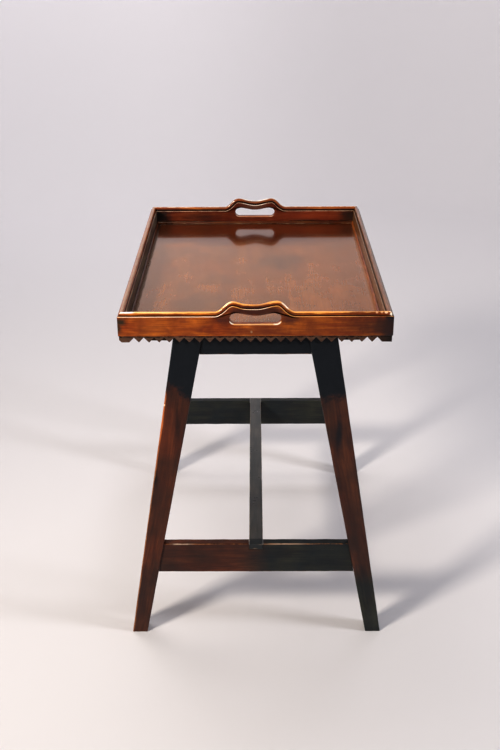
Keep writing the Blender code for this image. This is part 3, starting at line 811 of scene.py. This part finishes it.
def slottedFace(low, inward, topLine):
    # a flat face between the slot's mouth and the outline, by straight lines from one to the other
    innerAlong, innerUp = slotLoop(slot["mouth"])
    outerAlong, outerUp = faceLoop(low, topLine)
    share = np.array([0, 0.04, 0.2, 0.4, 0.6, 0.8, 1.0])[:, None]
    held = slot["held"]
    nearAlong, nearUp = outerAlong * 0.99, np.maximum(outerUp - held, low + held)
    nearUp = np.where(outerUp < wall["height"] / 3, np.maximum(outerUp, low + 0.001), nearUp)
    along = innerAlong * (1 - share) + nearAlong * share
    up = innerUp * (1 - share) + nearUp * share
    along, up = joined(along, outerAlong[None]), joined(up, outerUp[None])
    return patchOf(along, inward, up, 0.0, 0.0, float(inward > 0))


def slotTube():
    # the handhold's inside, rounded over at both mouths
    thickness = wall["thickness"]
    depth, growth, lip = rounding(slot["mouth"], 7)
    depth = joined(depth, [thickness / 2], thickness - depth[::-1])[:, None]
    growth = joined(growth, [0.0], growth[::-1])
    lip = joined(lip, [0.0], lip)[:, None]
    along, up = np.array([slotLoop(each) for each in growth]).transpose(1, 0, 2)
    # The lower lips, which face up, are worn more: partly wear, partly painted highlight.
    facingUp = np.clip((slot["middle"] - up) / (slot["height"] / 2), slot["leastLip"], 1)
    return patchOf(along, depth, up, slot["lipWearAndHighlight"] * lip ** 3 * facingUp, 0.0, depth / thickness)


def makeEndWall(edge, knots, seed, material, dents=()):
    reach = slot["reach"]
    run = trayEdges[edge][1]
    patches, caps = [], []
    for side in (-1, 1):
        # from the mitre to the slotted stretch, whose end is square to the wall
        straight, ends = stretchPatches(edge, side * evenSteps(1, 0, 40), knots, seed)
        for patch in straight + ends:
            full = np.abs(patch[..., 0])
            span = run - patch[..., 1] - mitreGap
            patch[..., 0] = side * (reach + full * (span - reach) / span)
        for patch in straight:
            if patch.shape[1] == len(topInward):
                patch[...] = wallTop(patch[..., 0], knots, seed, wallWearAndShade[edge])
        patches += straight
        caps += ends
    topAlong = evenSteps(-reach, reach, slot["topSteps"])
    top = wallTop(np.repeat(topAlong[:, None], len(topInward), 1), knots, seed, wallWearAndShade[edge])
    bottomAlong = evenSteps(-reach, reach, slot["bottomSteps"])
    footIn, footUp, footWorn = wallFoot()
    foot = patchOf(bottomAlong[:, None], footIn, footUp, footWorn)
    outer = slottedFace(wall["lowerEase"], 0.0, top[:, 0][:, [0, 2]])
    inner = slottedFace(wall["ceiling"], wall["thickness"], top[:, -1][:, [0, 2]])
    patches += [top, foot, outer, inner, slotTube()]
    makePiece(edge + "_end_wall", "end_wall_" + edge, patches, caps,
              onTrayEdge(edge), boardOf(seed), material, dents)


cornerChips = (   # middle, reach and push of each lost chip
    ((0.2505, -0.3525, 0.7203), (0.0035, 0.0035, 0.0020), (-0.0009, 0.0009, -0.0008)),
    ((-0.2505, -0.3525, 0.6815), (0.0030, 0.0030, 0.0040), (0.0009, 0.0009, 0.0006)),
)
makeEndWall("front", archFront, 11, polishedFront, cornerChips)
makeEndWall("back", archBack, 12, polishedBack)
makeSideWall("left", 13, polishedLeft)
makeSideWall("right", 14, polishedRight)
print("walls made")


# The coves' dusk tone is painted shade, least on the right one, which the lamp at the left lights.
cove = {"size": 0.004, "steps": 8, "stations": 60, "edgeWear": 0.3, "shadeAndGrime": 0.1,
        "wear": {"front": 0.4, "back": 0.9, "left": 0.3, "right": 0.7},
        "dusk": {"front": 1.0, "back": 0.8, "left": 0.9, "right": 0.4}}


def makeCove(edge, seed):
    # a quarter-round strip in the corner between wall and floor
    inward0, up0 = wall["thickness"] + glueGap, wall["ceiling"]
    turn = evenSteps(0, pi / 2, cove["steps"])
    inward = joined([inward0], inward0 + cove["size"] * np.cos(turn), [inward0])
    up = joined([up0], up0 + cove["size"] * np.sin(turn), [up0])
    edges = bell(turn, cove["edgeWear"]) + bell(pi / 2 - turn, cove["edgeWear"])
    worn = joined([0.0], cove["wear"][edge] * edges, [0.0])
    along = mitredRun(edge, evenSteps(-1, 1, cove["stations"])[:, None], inward)
    strip = patchOf(along, inward, up, worn, cove["shadeAndGrime"], cove["dusk"][edge])
    makeStrip(edge + "_cove", "cove_" + edge, strip, onTrayEdge(edge), seed,
              polishedCove)


for number, edge in enumerate(trayEdges):
    makeCove(edge, 21 + number)
print("coves made")


apron = {
    "setback": 0.0015,
    "thickness": 0.011,
    "web": 0.0026,          # wood above the notches
    "tooth": 0.0094,
    "pitch": 0.01855,
    "tip": 0.0006,
    "endBlock": 0.012,
    "ease": 0.0005,
    "jitter": 0.00035,      # how unevenly the notches were cut
    "lost": {"front": (0.0042, 0.0045), "other": (0.0012, 0.0008)},    # width and height of a lost corner
    "shares": np.array([-1.0, -0.95, -0.5, -0.05, 0.0, 0.05, 0.5, 0.95, 1.0]),
    "depths": np.array([0.0, 0.03, 0.5, 0.965, 1.0, 0.965, 0.5, 0.03, 0.0]),
}


def toothLine(halfRun, seed, lostCorner):
    # Along and up of the lower edge. Each notch is a V with a blunt root between two worn tips.
    # The jitter moves a notch's middle and root.
    count = int((halfRun - apron["endBlock"] - apron["pitch"] / 2) / apron["pitch"])
    random = np.random.default_rng(seed)
    middles = np.arange(-count, count + 1) * apron["pitch"]
    middles = middles + random.uniform(-1, 1, len(middles)) * apron["jitter"]
    roots = apron["web"] + random.uniform(-1, 1, len(middles)) * apron["jitter"]
    tips = random.uniform(0, 1, len(middles)) * apron["jitter"]
    half = (apron["pitch"] - apron["tip"]) / 2
    bottom = apron["web"] + apron["tooth"]
    along = (middles[:, None] + apron["shares"] * half).ravel()
    lowest = bottom - tips[:, None]
    up = -(lowest + (roots[:, None] - lowest) * apron["depths"]).ravel()
    loss, rise = lostCorner
    leftEnd, rightEnd = [-halfRun, -halfRun + loss, -halfRun + 1.2 * loss], [halfRun - 0.002, halfRun]
    along = joined(leftEnd, along, rightEnd)
    up = joined([-bottom + rise, -bottom + 0.0002, -bottom], up, [-bottom, -bottom])
    return along, up


def makeApron(edge, seed):
    # A strip whose lower edge is the tooth line. Its section has eased lower edges.
    low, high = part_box("toothed_apron_" + edge)
    halfRun = (high.x - low.x) / 2 if edge in ("front", "back") else (high.y - low.y) / 2
    along, lower = toothLine(halfRun, seed, apron["lost"].get(edge, apron["lost"]["other"]))
    edgeIn, lift, edgeWorn = rounding(apron["ease"], 3)
    front, back = apron["setback"], apron["setback"] + apron["thickness"]
    inward = joined([front, front, front], front + edgeIn, [(front + back) / 2],
                    back - edgeIn[::-1], [back, back, front])
    # a share of the height from the glued top, and the rounding below it
    share = joined([0, 0.3, 0.7], np.ones(9), [0.6, 0, 0])
    under = joined([0, 0, 0], lift, [0], lift[::-1], [0, 0, 0])
    top = -glueGap
    up = top + (lower[:, None] - top) * share + under
    worn = joined([0, 0, 0.1], edgeWorn * 0.9 + 0.1, [0.2], edgeWorn, [0, 0, 0])
    # The top, under the wall's overhang, is darkened: painted shade, with grime.
    shadeAndGrime = joined([1.0, 0.5, 0.1], np.zeros(9), [0.2, 0.6, 0.6])
    strip = patchOf(along[:, None], inward, up, worn, shadeAndGrime)
    makeStrip(edge + "_toothed_apron", "toothed_apron_" + edge, strip,
              onTrayEdge(edge), seed, dullApron)


for number, edge in enumerate(trayEdges):
    makeApron(edge, 31 + number)
print("aprons made")


panel = {"ripple": 0.00010, "rippleLength": 0.24, "edge": 0.0006, "stepsX": 70, "stepsY": 100,
         "rimStep": 0.012, "calmMargin": 0.05, "edgeDarkFrom": 0.004, "edgeDarkReach": 0.008,
         "lighterFrom": 0.19, "rightDarkening": 0.2}      # the right margin is less darkened from this x on


def makePanel():
    # A slab whose top ripples a little, as an old thin board does, by sine waves both ways. Its
    # grain runs along the tray.
    low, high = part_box("tray_floor")
    edge = panel["edge"]
    x = heldSteps(low.x + edge, high.x - edge, panel["stepsX"], panel["rimStep"])
    y = heldSteps(low.y + edge, high.y - edge, panel["stepsY"], panel["rimStep"])
    gridX, gridY = np.meshgrid(x, y, indexing="ij")
    covered = wall["thickness"] - wall["seat"]
    inside = np.minimum(high.x - np.abs(gridX), high.y - np.abs(gridY)) - covered
    calm = ramp(inside, 0, panel["calmMargin"])
    ripple = waver(gridX + 0.3 * gridY, 41, panel["ripple"], panel["rippleLength"])
    ripple = ripple + waver(gridY - 0.2 * gridX, 42, panel["ripple"], panel["rippleLength"])
    # Darker along the walls: grime with painted shade, less on the lit right.
    shadeAndGrime = bell(np.maximum(inside - panel["edgeDarkFrom"], 0), panel["edgeDarkReach"])
    shadeAndGrime = np.where(gridX > panel["lighterFrom"], panel["rightDarkening"] * shadeAndGrime, shadeAndGrime)
    top = patchOf(gridX, gridY, high.z + calm * (ripple - 2 * panel["ripple"]), 0.0, shadeAndGrime)
    bottom = patchOf(gridX, gridY, low.z, 0.0, 0.3)
    rings = [joined(grid[:-1, 0], grid[-1, :-1], grid[:0:-1, -1], grid[0, ::-1])
             for grid in (top, bottom)]
    middle = rings[0].copy()
    flat = middle[:, :2]
    outward = np.sign(flat) * (np.abs(flat) >= [high.x - 1.5 * edge, high.y - 1.5 * edge])
    middle[:, :2] += outward * edge
    upper, lower = middle.copy(), middle.copy()
    upper[:, 2], lower[:, 2] = high.z - edge, low.z + edge
    rim = np.stack([rings[0], upper, lower, rings[1]])
    grain = boardOf(43)

    def alongY(points):
        return grain(points[:, [1, 0, 2]])
    piece = makePiece("floor_panel", "tray_floor", [top, bottom, rim], [],
                      lambda local: local, alongY, [polishedPanel, bareUnderside])
    under = np.array([face.normal.z < -0.5 for face in piece.data.polygons], dtype=np.int32)
    piece.data.polygons.foreach_set("material_index", under)


makePanel()
print("floor panel made")


# Bars: legs, rails, battens and the stretcher. A bar is a rounded rectangle carried along its
# length, between four sides that may change on the way.

bar = {
    "cornerSteps": 4,
    "band": 0.0028,          # how far the wear reaches from an edge
    "lapBand": 0.004,        # and from the shoulder of the stretcher's lap
    "endEase": 0.0010,
    "leastEdge": 0.0003,
    "endWear": 0.8,
}


def eaten(t, seed, waves):
    # how much each of an old bar's four sides has lost, by the depth and longest wave of each
    return [np.abs(waver(t, seed + k, *wave)) for k, wave in enumerate(waves)]


def barRing(across0, across1, up0, up1, radius):
    # The rounded rectangle at each station: corner arcs, and on each side points close to them that
    # keep the wear near the edges. Every side is an array along the bar.
    turn = evenSteps(0, pi / 2, bar["cornerSteps"])
    r = radius[:, None]
    arcs = []
    for number, (sideways, upward) in enumerate(((1, 1), (-1, 1), (-1, -1), (1, -1))):
        arc = turn + number * pi / 2
        cornerAcross = (across1 if sideways > 0 else across0)[:, None]
        cornerUp = (up1 if upward > 0 else up0)[:, None]
        arcs.append((cornerAcross + r * (np.cos(arc) - sideways),
                     cornerUp + r * (np.sin(arc) - upward)))
    acrossParts, upParts, wornParts = [], [], []
    for number, (arcAcross, arcUp) in enumerate(arcs):
        nextAcross, nextUp = arcs[(number + 1) % 4]
        toAcross, toUp = nextAcross[:, :1] - arcAcross[:, -1:], nextUp[:, :1] - arcUp[:, -1:]
        near = np.clip(bar["band"] / np.hypot(toAcross, toUp), 0.05, 0.3)
        share = np.concatenate([near, 0.5 + 0 * near, 1 - near], 1)
        acrossParts += [arcAcross, arcAcross[:, -1:] + toAcross * share]
        upParts += [arcUp, arcUp[:, -1:] + toUp * share]
        wornParts += [[0.7, 1, 1, 1, 0.7], np.zeros(3)]
    across = np.concatenate(acrossParts + [acrossParts[0][:, :1]], 1)
    up = np.concatenate(upParts + [upParts[0][:, :1]], 1)
    return across, up, np.concatenate(wornParts + [[0.7]])


def barPatch(along, across0, across1, up0, up1, radius, wornEnds, ease=bar["endEase"]):
    # the ring at every station, and a smaller one at each end for the eased end edges
    sides = [np.broadcast_to(side, along.shape).astype(float) for side in (across0, across1, up0, up1)]
    radius = np.broadcast_to(radius, along.shape).astype(float)
    for end in (0, -1):
        for side, sign in zip(sides, (1, -1, 1, -1)):
            side[end] += sign * ease
        radius[end] = max(radius[end] - ease * 0.5, bar["leastEdge"])
    across, up, worn = barRing(*sides, radius)
    worn = np.repeat(worn[None], len(along), 0)
    for row, share in ((0, wornEnds[0]), (1, wornEnds[0]), (-1, wornEnds[1]), (-2, wornEnds[1])):
        worn[row] = np.maximum(worn[row], share * bar["endWear"])
    return along, across, up, worn


def barStations(low, high, count):
    # even stations, with the eased end edges and the band of wear behind them
    ease, band = bar["endEase"], bar["band"]
    inner = np.linspace(low + band, high - band, count)
    return joined([low, low + ease], inner, [high - ease, high])


stand = {
    "footWidth": 0.0313,     # of the legs
    "topWidth": 0.0545,
    "legEdge": 0.0021,       # how round the worn edges are
    "railEdge": 0.0016,
    "battenEdge": 0.0010,
    "lapEdge": 0.0008,
    "railThickness": 0.018,
    "topRailHeight": 0.0435,
    "lowerRailHeight": 0.068,
    "lapDepth": 0.0135,
    "stretcherWidth": 0.028,
    "legWaves": ((0.00035, 0.3), (0.00035, 0.23), (0.0003, 0.27), (0.0003, 0.21)),
    "railWaves": ((0.00025, 0.2), (0.00025, 0.2), (0.0003, 0.15), (0.0003, 0.15)),
    "longWaves": ((0.0003, 0.3),) * 4,
    "stretcherWaves": ((0.00035, 0.25),) * 4,
    "legStations": 150,
    "longStations": 120,
    "darkTop": 0.190,        # how far down the legs are black, partly stain and partly painted shadow of the tray, and how softly that ends
    "darkFade": 0.085,
    "greyFoot": 0.12,        # how high up the right legs' feet are grey, and how softly that ends
    "greyFade": 0.07,
    "blackWear": 0.8,        # how much of the wear the black hides
    "arrisWearAndHighlight": (1.4, 0.5), # share of the wear on the near left leg's outer front edge, partly painted highlight from the left, and elsewhere
    "backWear": 0.4,         # share of the wear on the far rails
    "endSoil": (0.06, 0.05, 0.2),      # soiled ends of the long bars: from, over, and least elsewhere
    "lapSoil": (0.004, 0.01),          # soiled front lap of the stretcher: from, over
    "sideTone": (0.003, 0.002),        # other tone of its sides, without the top's painted sheen: from, over
}
legLook = {     # how much lower the black ends on the outer side, least and most of the grey painted shade, share of wear
    "left": {"slant": 0.035, "least": 0.0, "most": 0.25, "worn": 1.0},
    "right": {"slant": 0.010, "least": 0.25, "most": 1.0, "worn": 0.45},
}
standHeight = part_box("leg_front_right")[1].z
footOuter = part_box("leg_front_right")[1].x
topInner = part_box("leg_front_right")[0].x


def legSides(z):
    # a leg's inner and outer side at a height, on straight lines from foot to top
    share = np.asarray(z) / standHeight
    footInner, topOuter = footOuter - stand["footWidth"], topInner + stand["topWidth"]
    return footInner + (topInner - footInner) * share, footOuter + (topOuter - footOuter) * share


def makeLeg(end, side, seed, dents=()):
    node = "leg_" + end + "_" + side
    low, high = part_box(node)
    z = barStations(0.0, standHeight, stand["legStations"])
    inner, outer = legSides(z)
    lost = eaten(z, seed, stand["legWaves"])
    inner, outer = inner + lost[0], outer - lost[1]
    y0, y1 = low.y + lost[2], high.y - lost[3]
    radius = stand["legEdge"] + waver(z, seed + 4, 0.0007, 0.09)
    along, across, up, worn = barPatch(z, inner, outer, y0, y1, radius, (1.0, 0.0))
    outerShare = (across - inner[:, None]) / (outer - inner)[:, None]
    look = legLook[side]
    # Black at the top: partly dark stain, partly painted shadow of the tray; the grey is painted shade.
    blackFrom = standHeight - stand["darkTop"] + look["slant"] * outerShare
    shadeAndGrime = ramp(along[:, None], blackFrom, stand["darkFade"])
    footShare = 1 - ramp(along, stand["greyFoot"], stand["greyFade"])
    paintedShadeGrey = np.maximum(look["least"], look["most"] * footShare)[:, None]
    worn = worn * look["worn"] * (1 - stand["blackWear"] * shadeAndGrime)
    # The near left leg's outer front edge is lit from the left: more wear, partly painted highlight.
    if (end, side) == ("front", "left"):
        outerEdge = (across > (inner + outer)[:, None] / 2) & (up < (low.y + high.y) / 2)
        worn = worn * np.where(outerEdge, *stand["arrisWearAndHighlight"])
    patch = patchOf(along[:, None], across, up, worn, shadeAndGrime, paintedShadeGrey)
    sign = 1 if side == "right" else -1
    grain = boardOf(seed)

    def place(local):
        return np.stack([sign * local[:, 1], local[:, 2], local[:, 0]], 1)

    def straightened(points):
        # the grain follows the leg's slope
        local = points.copy()
        local[:, 1] -= sum(legSides(points[:, 0])) / 2
        return grain(local)
    name = end + "_" + side + "_leg"
    makeStrip(name, node, patch, place, seed, darkStand, dents, straightened)


legDents = {
    ("front", "left"): (((-0.1655, -0.3395, 0.548), (0.003, 0.006, 0.002), (0.0012, 0.0006, 0.0)),
                        ((-0.2300, -0.3395, 0.20), (0.003, 0.004, 0.004), (0.0008, 0.0006, 0.0))),
    ("front", "right"): (((0.1860, -0.3395, 0.44), (0.003, 0.006, 0.002), (-0.0010, 0.0006, 0.0)),
                         ((0.1450, -0.3395, 0.44), (0.003, 0.004, 0.003), (0.0008, 0.0006, 0.0)),
                         ((0.2600, -0.3395, 0.020), (0.004, 0.004, 0.010), (-0.0009, 0.0007, 0.0))),
}
for number, (end, side) in enumerate(((e, s) for e in ("front", "back") for s in ("left", "right"))):
    makeLeg(end, side, 51 + 7 * number, legDents.get((end, side), ()))
print("legs made")


def makeEndRail(end, level, seed, dents=()):
    # A rail between two legs. Its ends follow the legs' slope, and the lower ones have a lap cut
    # from above for the stretcher.
    node = level + "_rail_" + end
    low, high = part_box(node)
    height = stand["topRailHeight"] if level == "top" else stand["lowerRailHeight"]
    base, top = high.z - height, high.z
    shoulder = legSides(top)[0] - glueGap
    halfLap = stand["stretcherWidth"] / 2 + glueGap
    if level == "lower":
        outside = barStations(halfLap, shoulder, 45)[:-1]
        outside = joined([halfLap], outside[2:], [shoulder - bar["endEase"], shoulder])
        inside = np.linspace(-halfLap, halfLap, 8)
        along = joined(-outside[::-1], inside, outside)
        cut = joined(np.zeros(len(outside)), np.ones(len(inside)), np.zeros(len(outside)))
    else:
        along = barStations(-shoulder, shoulder, 90)
        cut = np.zeros(len(along))
    yMiddle = (low.y + high.y) / 2
    half = stand["railThickness"] / 2
    lost = eaten(along, seed, stand["railWaves"])
    y0, y1 = yMiddle - half + lost[0], yMiddle + half - lost[1]
    upper = top - cut * (stand["lapDepth"] + glueGap) - (1 - cut) * lost[2]
    lower = base + lost[3]
    radius = stand["railEdge"] + waver(along, seed + 4, 0.0005, 0.07)
    radius = np.where(cut > 0, stand["lapEdge"], radius)
    along, across, up, worn = barPatch(along, y0, y1, lower, upper, radius, (0.0, 0.0), 0.0001)
    back = end == "back"
    worn = worn * (1 - cut[:, None]) * (stand["backWear"] if back else 1.0)
    slope = (legSides(up)[0] - glueGap) - shoulder
    reach = np.clip(np.abs(along) / shoulder, 0, 1) ** 12
    placed = along[:, None] + np.sign(along)[:, None] * slope * reach[:, None]
    # The back rail and the front one's right half take the grey painted shade; the top rails, under the
    # tray, are fully darkened: painted shadow with some stain.
    paintedShadeGrey = 1.0 if back else np.maximum(0.1, ramp(along[:, None], -0.05, 0.08))
    patch = patchOf(placed, across, up, worn, 1.0 if level == "top" else 0.0, paintedShadeGrey)
    name = end + "_" + level + "_rail"
    makeStrip(name, node, patch, lambda local: local, seed, darkStand, dents)


railDents = [((x, -0.3355, 0.218), (reach, 0.003, 0.003), (0.0, 0.0008, -0.0009)) for x, reach in (
    (-0.150, 0.004), (-0.142, 0.006), (-0.016, 0.003), (0.020, 0.004), (0.051, 0.003), (0.139, 0.003))]
makeEndRail("front", "top", 81)
makeEndRail("back", "top", 87)
makeEndRail("front", "lower", 93, railDents)
makeEndRail("back", "lower", 99)
print("end rails made")


def alongTray(local):
    # turns a bar's own axes, along, across and up, to a bar that runs along the tray
    return local[:, [1, 0, 2]]


def makeLongBar(name, node, end, seed, radius, material):
    # a straight bar along the stand, as wide and high as its node, up to the ends given
    low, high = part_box(node)
    along = barStations(-end, end, stand["longStations"])
    lost = eaten(along, seed, stand["longWaves"])
    edge = radius + waver(along, seed + 5, radius * 0.25, 0.1)
    left, right = low.x + lost[0], high.x - lost[1]
    lower, upper = low.z + lost[2], high.z - lost[3]
    along, across, up, worn = barPatch(along, left, right, lower, upper, edge, (0.0, 0.0))
    reach, span, least = stand["endSoil"]
    darkened = np.maximum(least, ramp(np.abs(along), end - reach, span))
    patch = patchOf(along[:, None], across, up, worn, darkened[:, None])
    makeStrip(name, node, patch, alongTray, seed, material)


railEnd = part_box("leg_back_right")[0].y - glueGap      # where the long rails' tenons start
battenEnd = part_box("floor_batten_right")[1].y
for number, side in enumerate(("left", "right")):
    makeLongBar(side + "_top_rail", "top_rail_" + side, railEnd, 105 + 7 * number,
                stand["railEdge"], darkStand)
    makeLongBar(side + "_batten", "floor_batten_" + side, battenEnd,
                121 + 7 * number, stand["battenEdge"], bareUnderside)
print("long rails and battens made")


def makeStretcher(seed):
    # The long bar between the lower rails. Its ends are halved from below where they lie in the
    # laps, flush with the rails' outer faces.
    low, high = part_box("stretcher")
    railInner = abs(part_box("lower_rail_back")[0].y) - glueGap
    inside = np.linspace(-railInner, railInner, stand["legStations"])
    outside = np.array([railInner, railInner + bar["lapBand"], high.y - bar["band"],
                        high.y - bar["endEase"], high.y])
    along = joined(-outside[::-1], inside, outside)
    halved = joined(np.ones(len(outside)), np.zeros(len(inside)), np.ones(len(outside)))
    lapBase = high.z - stand["lapDepth"]
    lost = eaten(along, seed, stand["stretcherWaves"])
    lower = np.where(halved > 0, lapBase, low.z + lost[2] * (1 - halved))
    radius = np.where(halved > 0, 0.0010, stand["railEdge"] + waver(along, seed + 5, 0.0004, 0.1))
    left, right = low.x + lost[0] * (1 - halved), high.x - lost[1] * (1 - halved)
    along, across, up, worn = barPatch(along, left, right, lower, high.z - lost[3], radius, (0.4, 0.4))
    lapReach, lapSpan = stand["lapSoil"]
    sideReach, sideSpan = stand["sideTone"]
    lapped = 1 - ramp(along, -railInner - lapReach, lapSpan)
    sides = 1 - ramp(up, high.z - sideReach, sideSpan)
    patch = patchOf(along[:, None], across, up, worn, lapped[:, None], sides)
    makeStrip("long_stretcher", "stretcher", patch, alongTray, seed, greyStretcher)


makeStretcher(141)
print("stretcher made")


# The stage: a plain pale floor that curves up into a round wall, and soft studio light

stage = {
    "flatRadius": 2.9,
    "curve": 1.1,
    "wallHeight": 3.4,
    "roughness": 0.8,
    "sheen": 0.1,
    "color": (0.72, 0.705, 0.725),
    "glowBehind": (0.60, 0.57, 0.58),   # how brightly the wall shines behind the tray
    "glowBefore": (0.06, 0.06, 0.065),  # and before it
    "glowSides": (1.08, 0.58),          # share of the glow at the left and the right
    "sidesAt": (-0.7, 0.7),
    "depths": (-2.5, 3.2),              # Y where the glow before ends and the glow behind is full
    "heights": (-0.5, 2.4),             # Z where the glow starts and where it is full
    "floorGlow": (0.3, 3.0, 0.0, 0.4),  # Y where the floor starts to glow and is full, and its shares
    "skyColor": (0.62, 0.62, 0.64),
    "skyStrength": 0.30,
    "contrast": 0.80,                   # display gamma
    "exposure": -0.42,
}


def makeRoom():
    # A profile turned round the upright axis: flat floor, quarter circle, upright wall
    radius, height = stage["flatRadius"] + stage["curve"], stage["wallHeight"]
    turn = evenSteps(0, pi / 2, 16)
    out = joined([0.001, 1.0, 2.0], stage["flatRadius"] + stage["curve"] * np.sin(turn),
                 [radius, radius])
    up = joined([0, 0, 0], stage["curve"] * (1 - np.cos(turn)), [2.2, height])
    around = evenSteps(0, 2 * pi, 96)[:, None]
    points = np.stack(np.broadcast_arrays(out * np.cos(around), out * np.sin(around), up), -1)
    mesh = bpy.data.meshes.new("studioRoom")
    mesh.from_pydata(points.reshape(-1, 3), [], gridQuads(*points.shape[:2], 0)[:, ::-1].tolist())
    mesh.shade_smooth()
    room = addObject("studioRoom", mesh)
    material = bpy.data.materials.new("paleRoom")
    material.use_nodes = True
    tree = material.node_tree
    shader = tree.nodes["Principled BSDF"]
    place = addNode(tree, "TexCoord").outputs["Object"]
    split = addNode(tree, "SeparateXYZ", {0: place}).outputs
    behind = remap(tree, split["Y"], *stage["depths"])
    glow = blend(tree, behind, shade(*stage["glowBefore"]), shade(*stage["glowBehind"]))
    raised = remap(tree, split["Z"], *stage["heights"])
    floorGlow = remap(tree, split["Y"], *stage["floorGlow"])
    low = times(tree, calculate(tree, "SUBTRACT", 1.0, raised), floorGlow)
    sides = remap(tree, split["X"], *stage["sidesAt"], *stage["glowSides"])
    share = times(tree, plus(tree, raised, low), sides)
    fill(tree, shader, {
        "Base Color": shade(*stage["color"]), "Roughness": stage["roughness"],
        "Specular IOR Level": stage["sheen"], "Emission Strength": 1.0,
        "Emission Color": blend(tree, share, shade(0.0, 0.0, 0.0), glow)})
    mesh.materials.append(material)


def makeSky():
    world = bpy.data.worlds.new("studioSky")
    bpy.context.scene.world = world
    world.use_nodes = True
    tree = world.node_tree
    fill(tree, tree.nodes["Background"], {
        "Color": shade(*stage["skyColor"]), "Strength": stage["skyStrength"]})


softboxes = (   # name, place, aim, size, power, color and spread in degrees
    ("keyLeft", (-1.9, -1.9, 2.05), (-0.05, -0.25, 0.62), (0.5, 0.5), 36.0, (1.0, 0.92, 0.80), 100),
    ("aboveLeft", (-0.54, 0.36, 2.1), (-0.1, 0.0, 0.6), (0.6, 1.0), 14.0, (1.0, 0.95, 0.88), 180),
    ("sideRight", (2.3, -0.8, 1.75), (0.0, -0.1, 0.4), (0.5, 0.5), 42.0, (0.96, 0.97, 1.0), 180),
    ("behind", (0.0, 1.9, 3.0), (0.0, 1.5, 0.0), (3.0, 0.8), 32.0, (0.98, 0.97, 1.0), 180),
)


def makeSoftbox(name, place, target, size, power, color, spread):
    light = bpy.data.lights.new(name, "AREA")
    light.spread = radians(spread)
    light.shape = "RECTANGLE"
    light.size, light.size_y = size
    light.energy = power
    light.color = color
    lamp = addObject(name, light)
    lamp.location = place
    lamp.rotation_euler = (Vector(target) - Vector(place)).to_track_quat("-Z", "Y").to_euler()
    lamp.visible_camera = False


makeRoom()
makeSky()
for softbox in softboxes:
    makeSoftbox(*softbox)
settings = bpy.context.scene.view_settings
settings.view_transform = "Standard"
settings.gamma = stage["contrast"]
settings.exposure = stage["exposure"]
print("stage made")
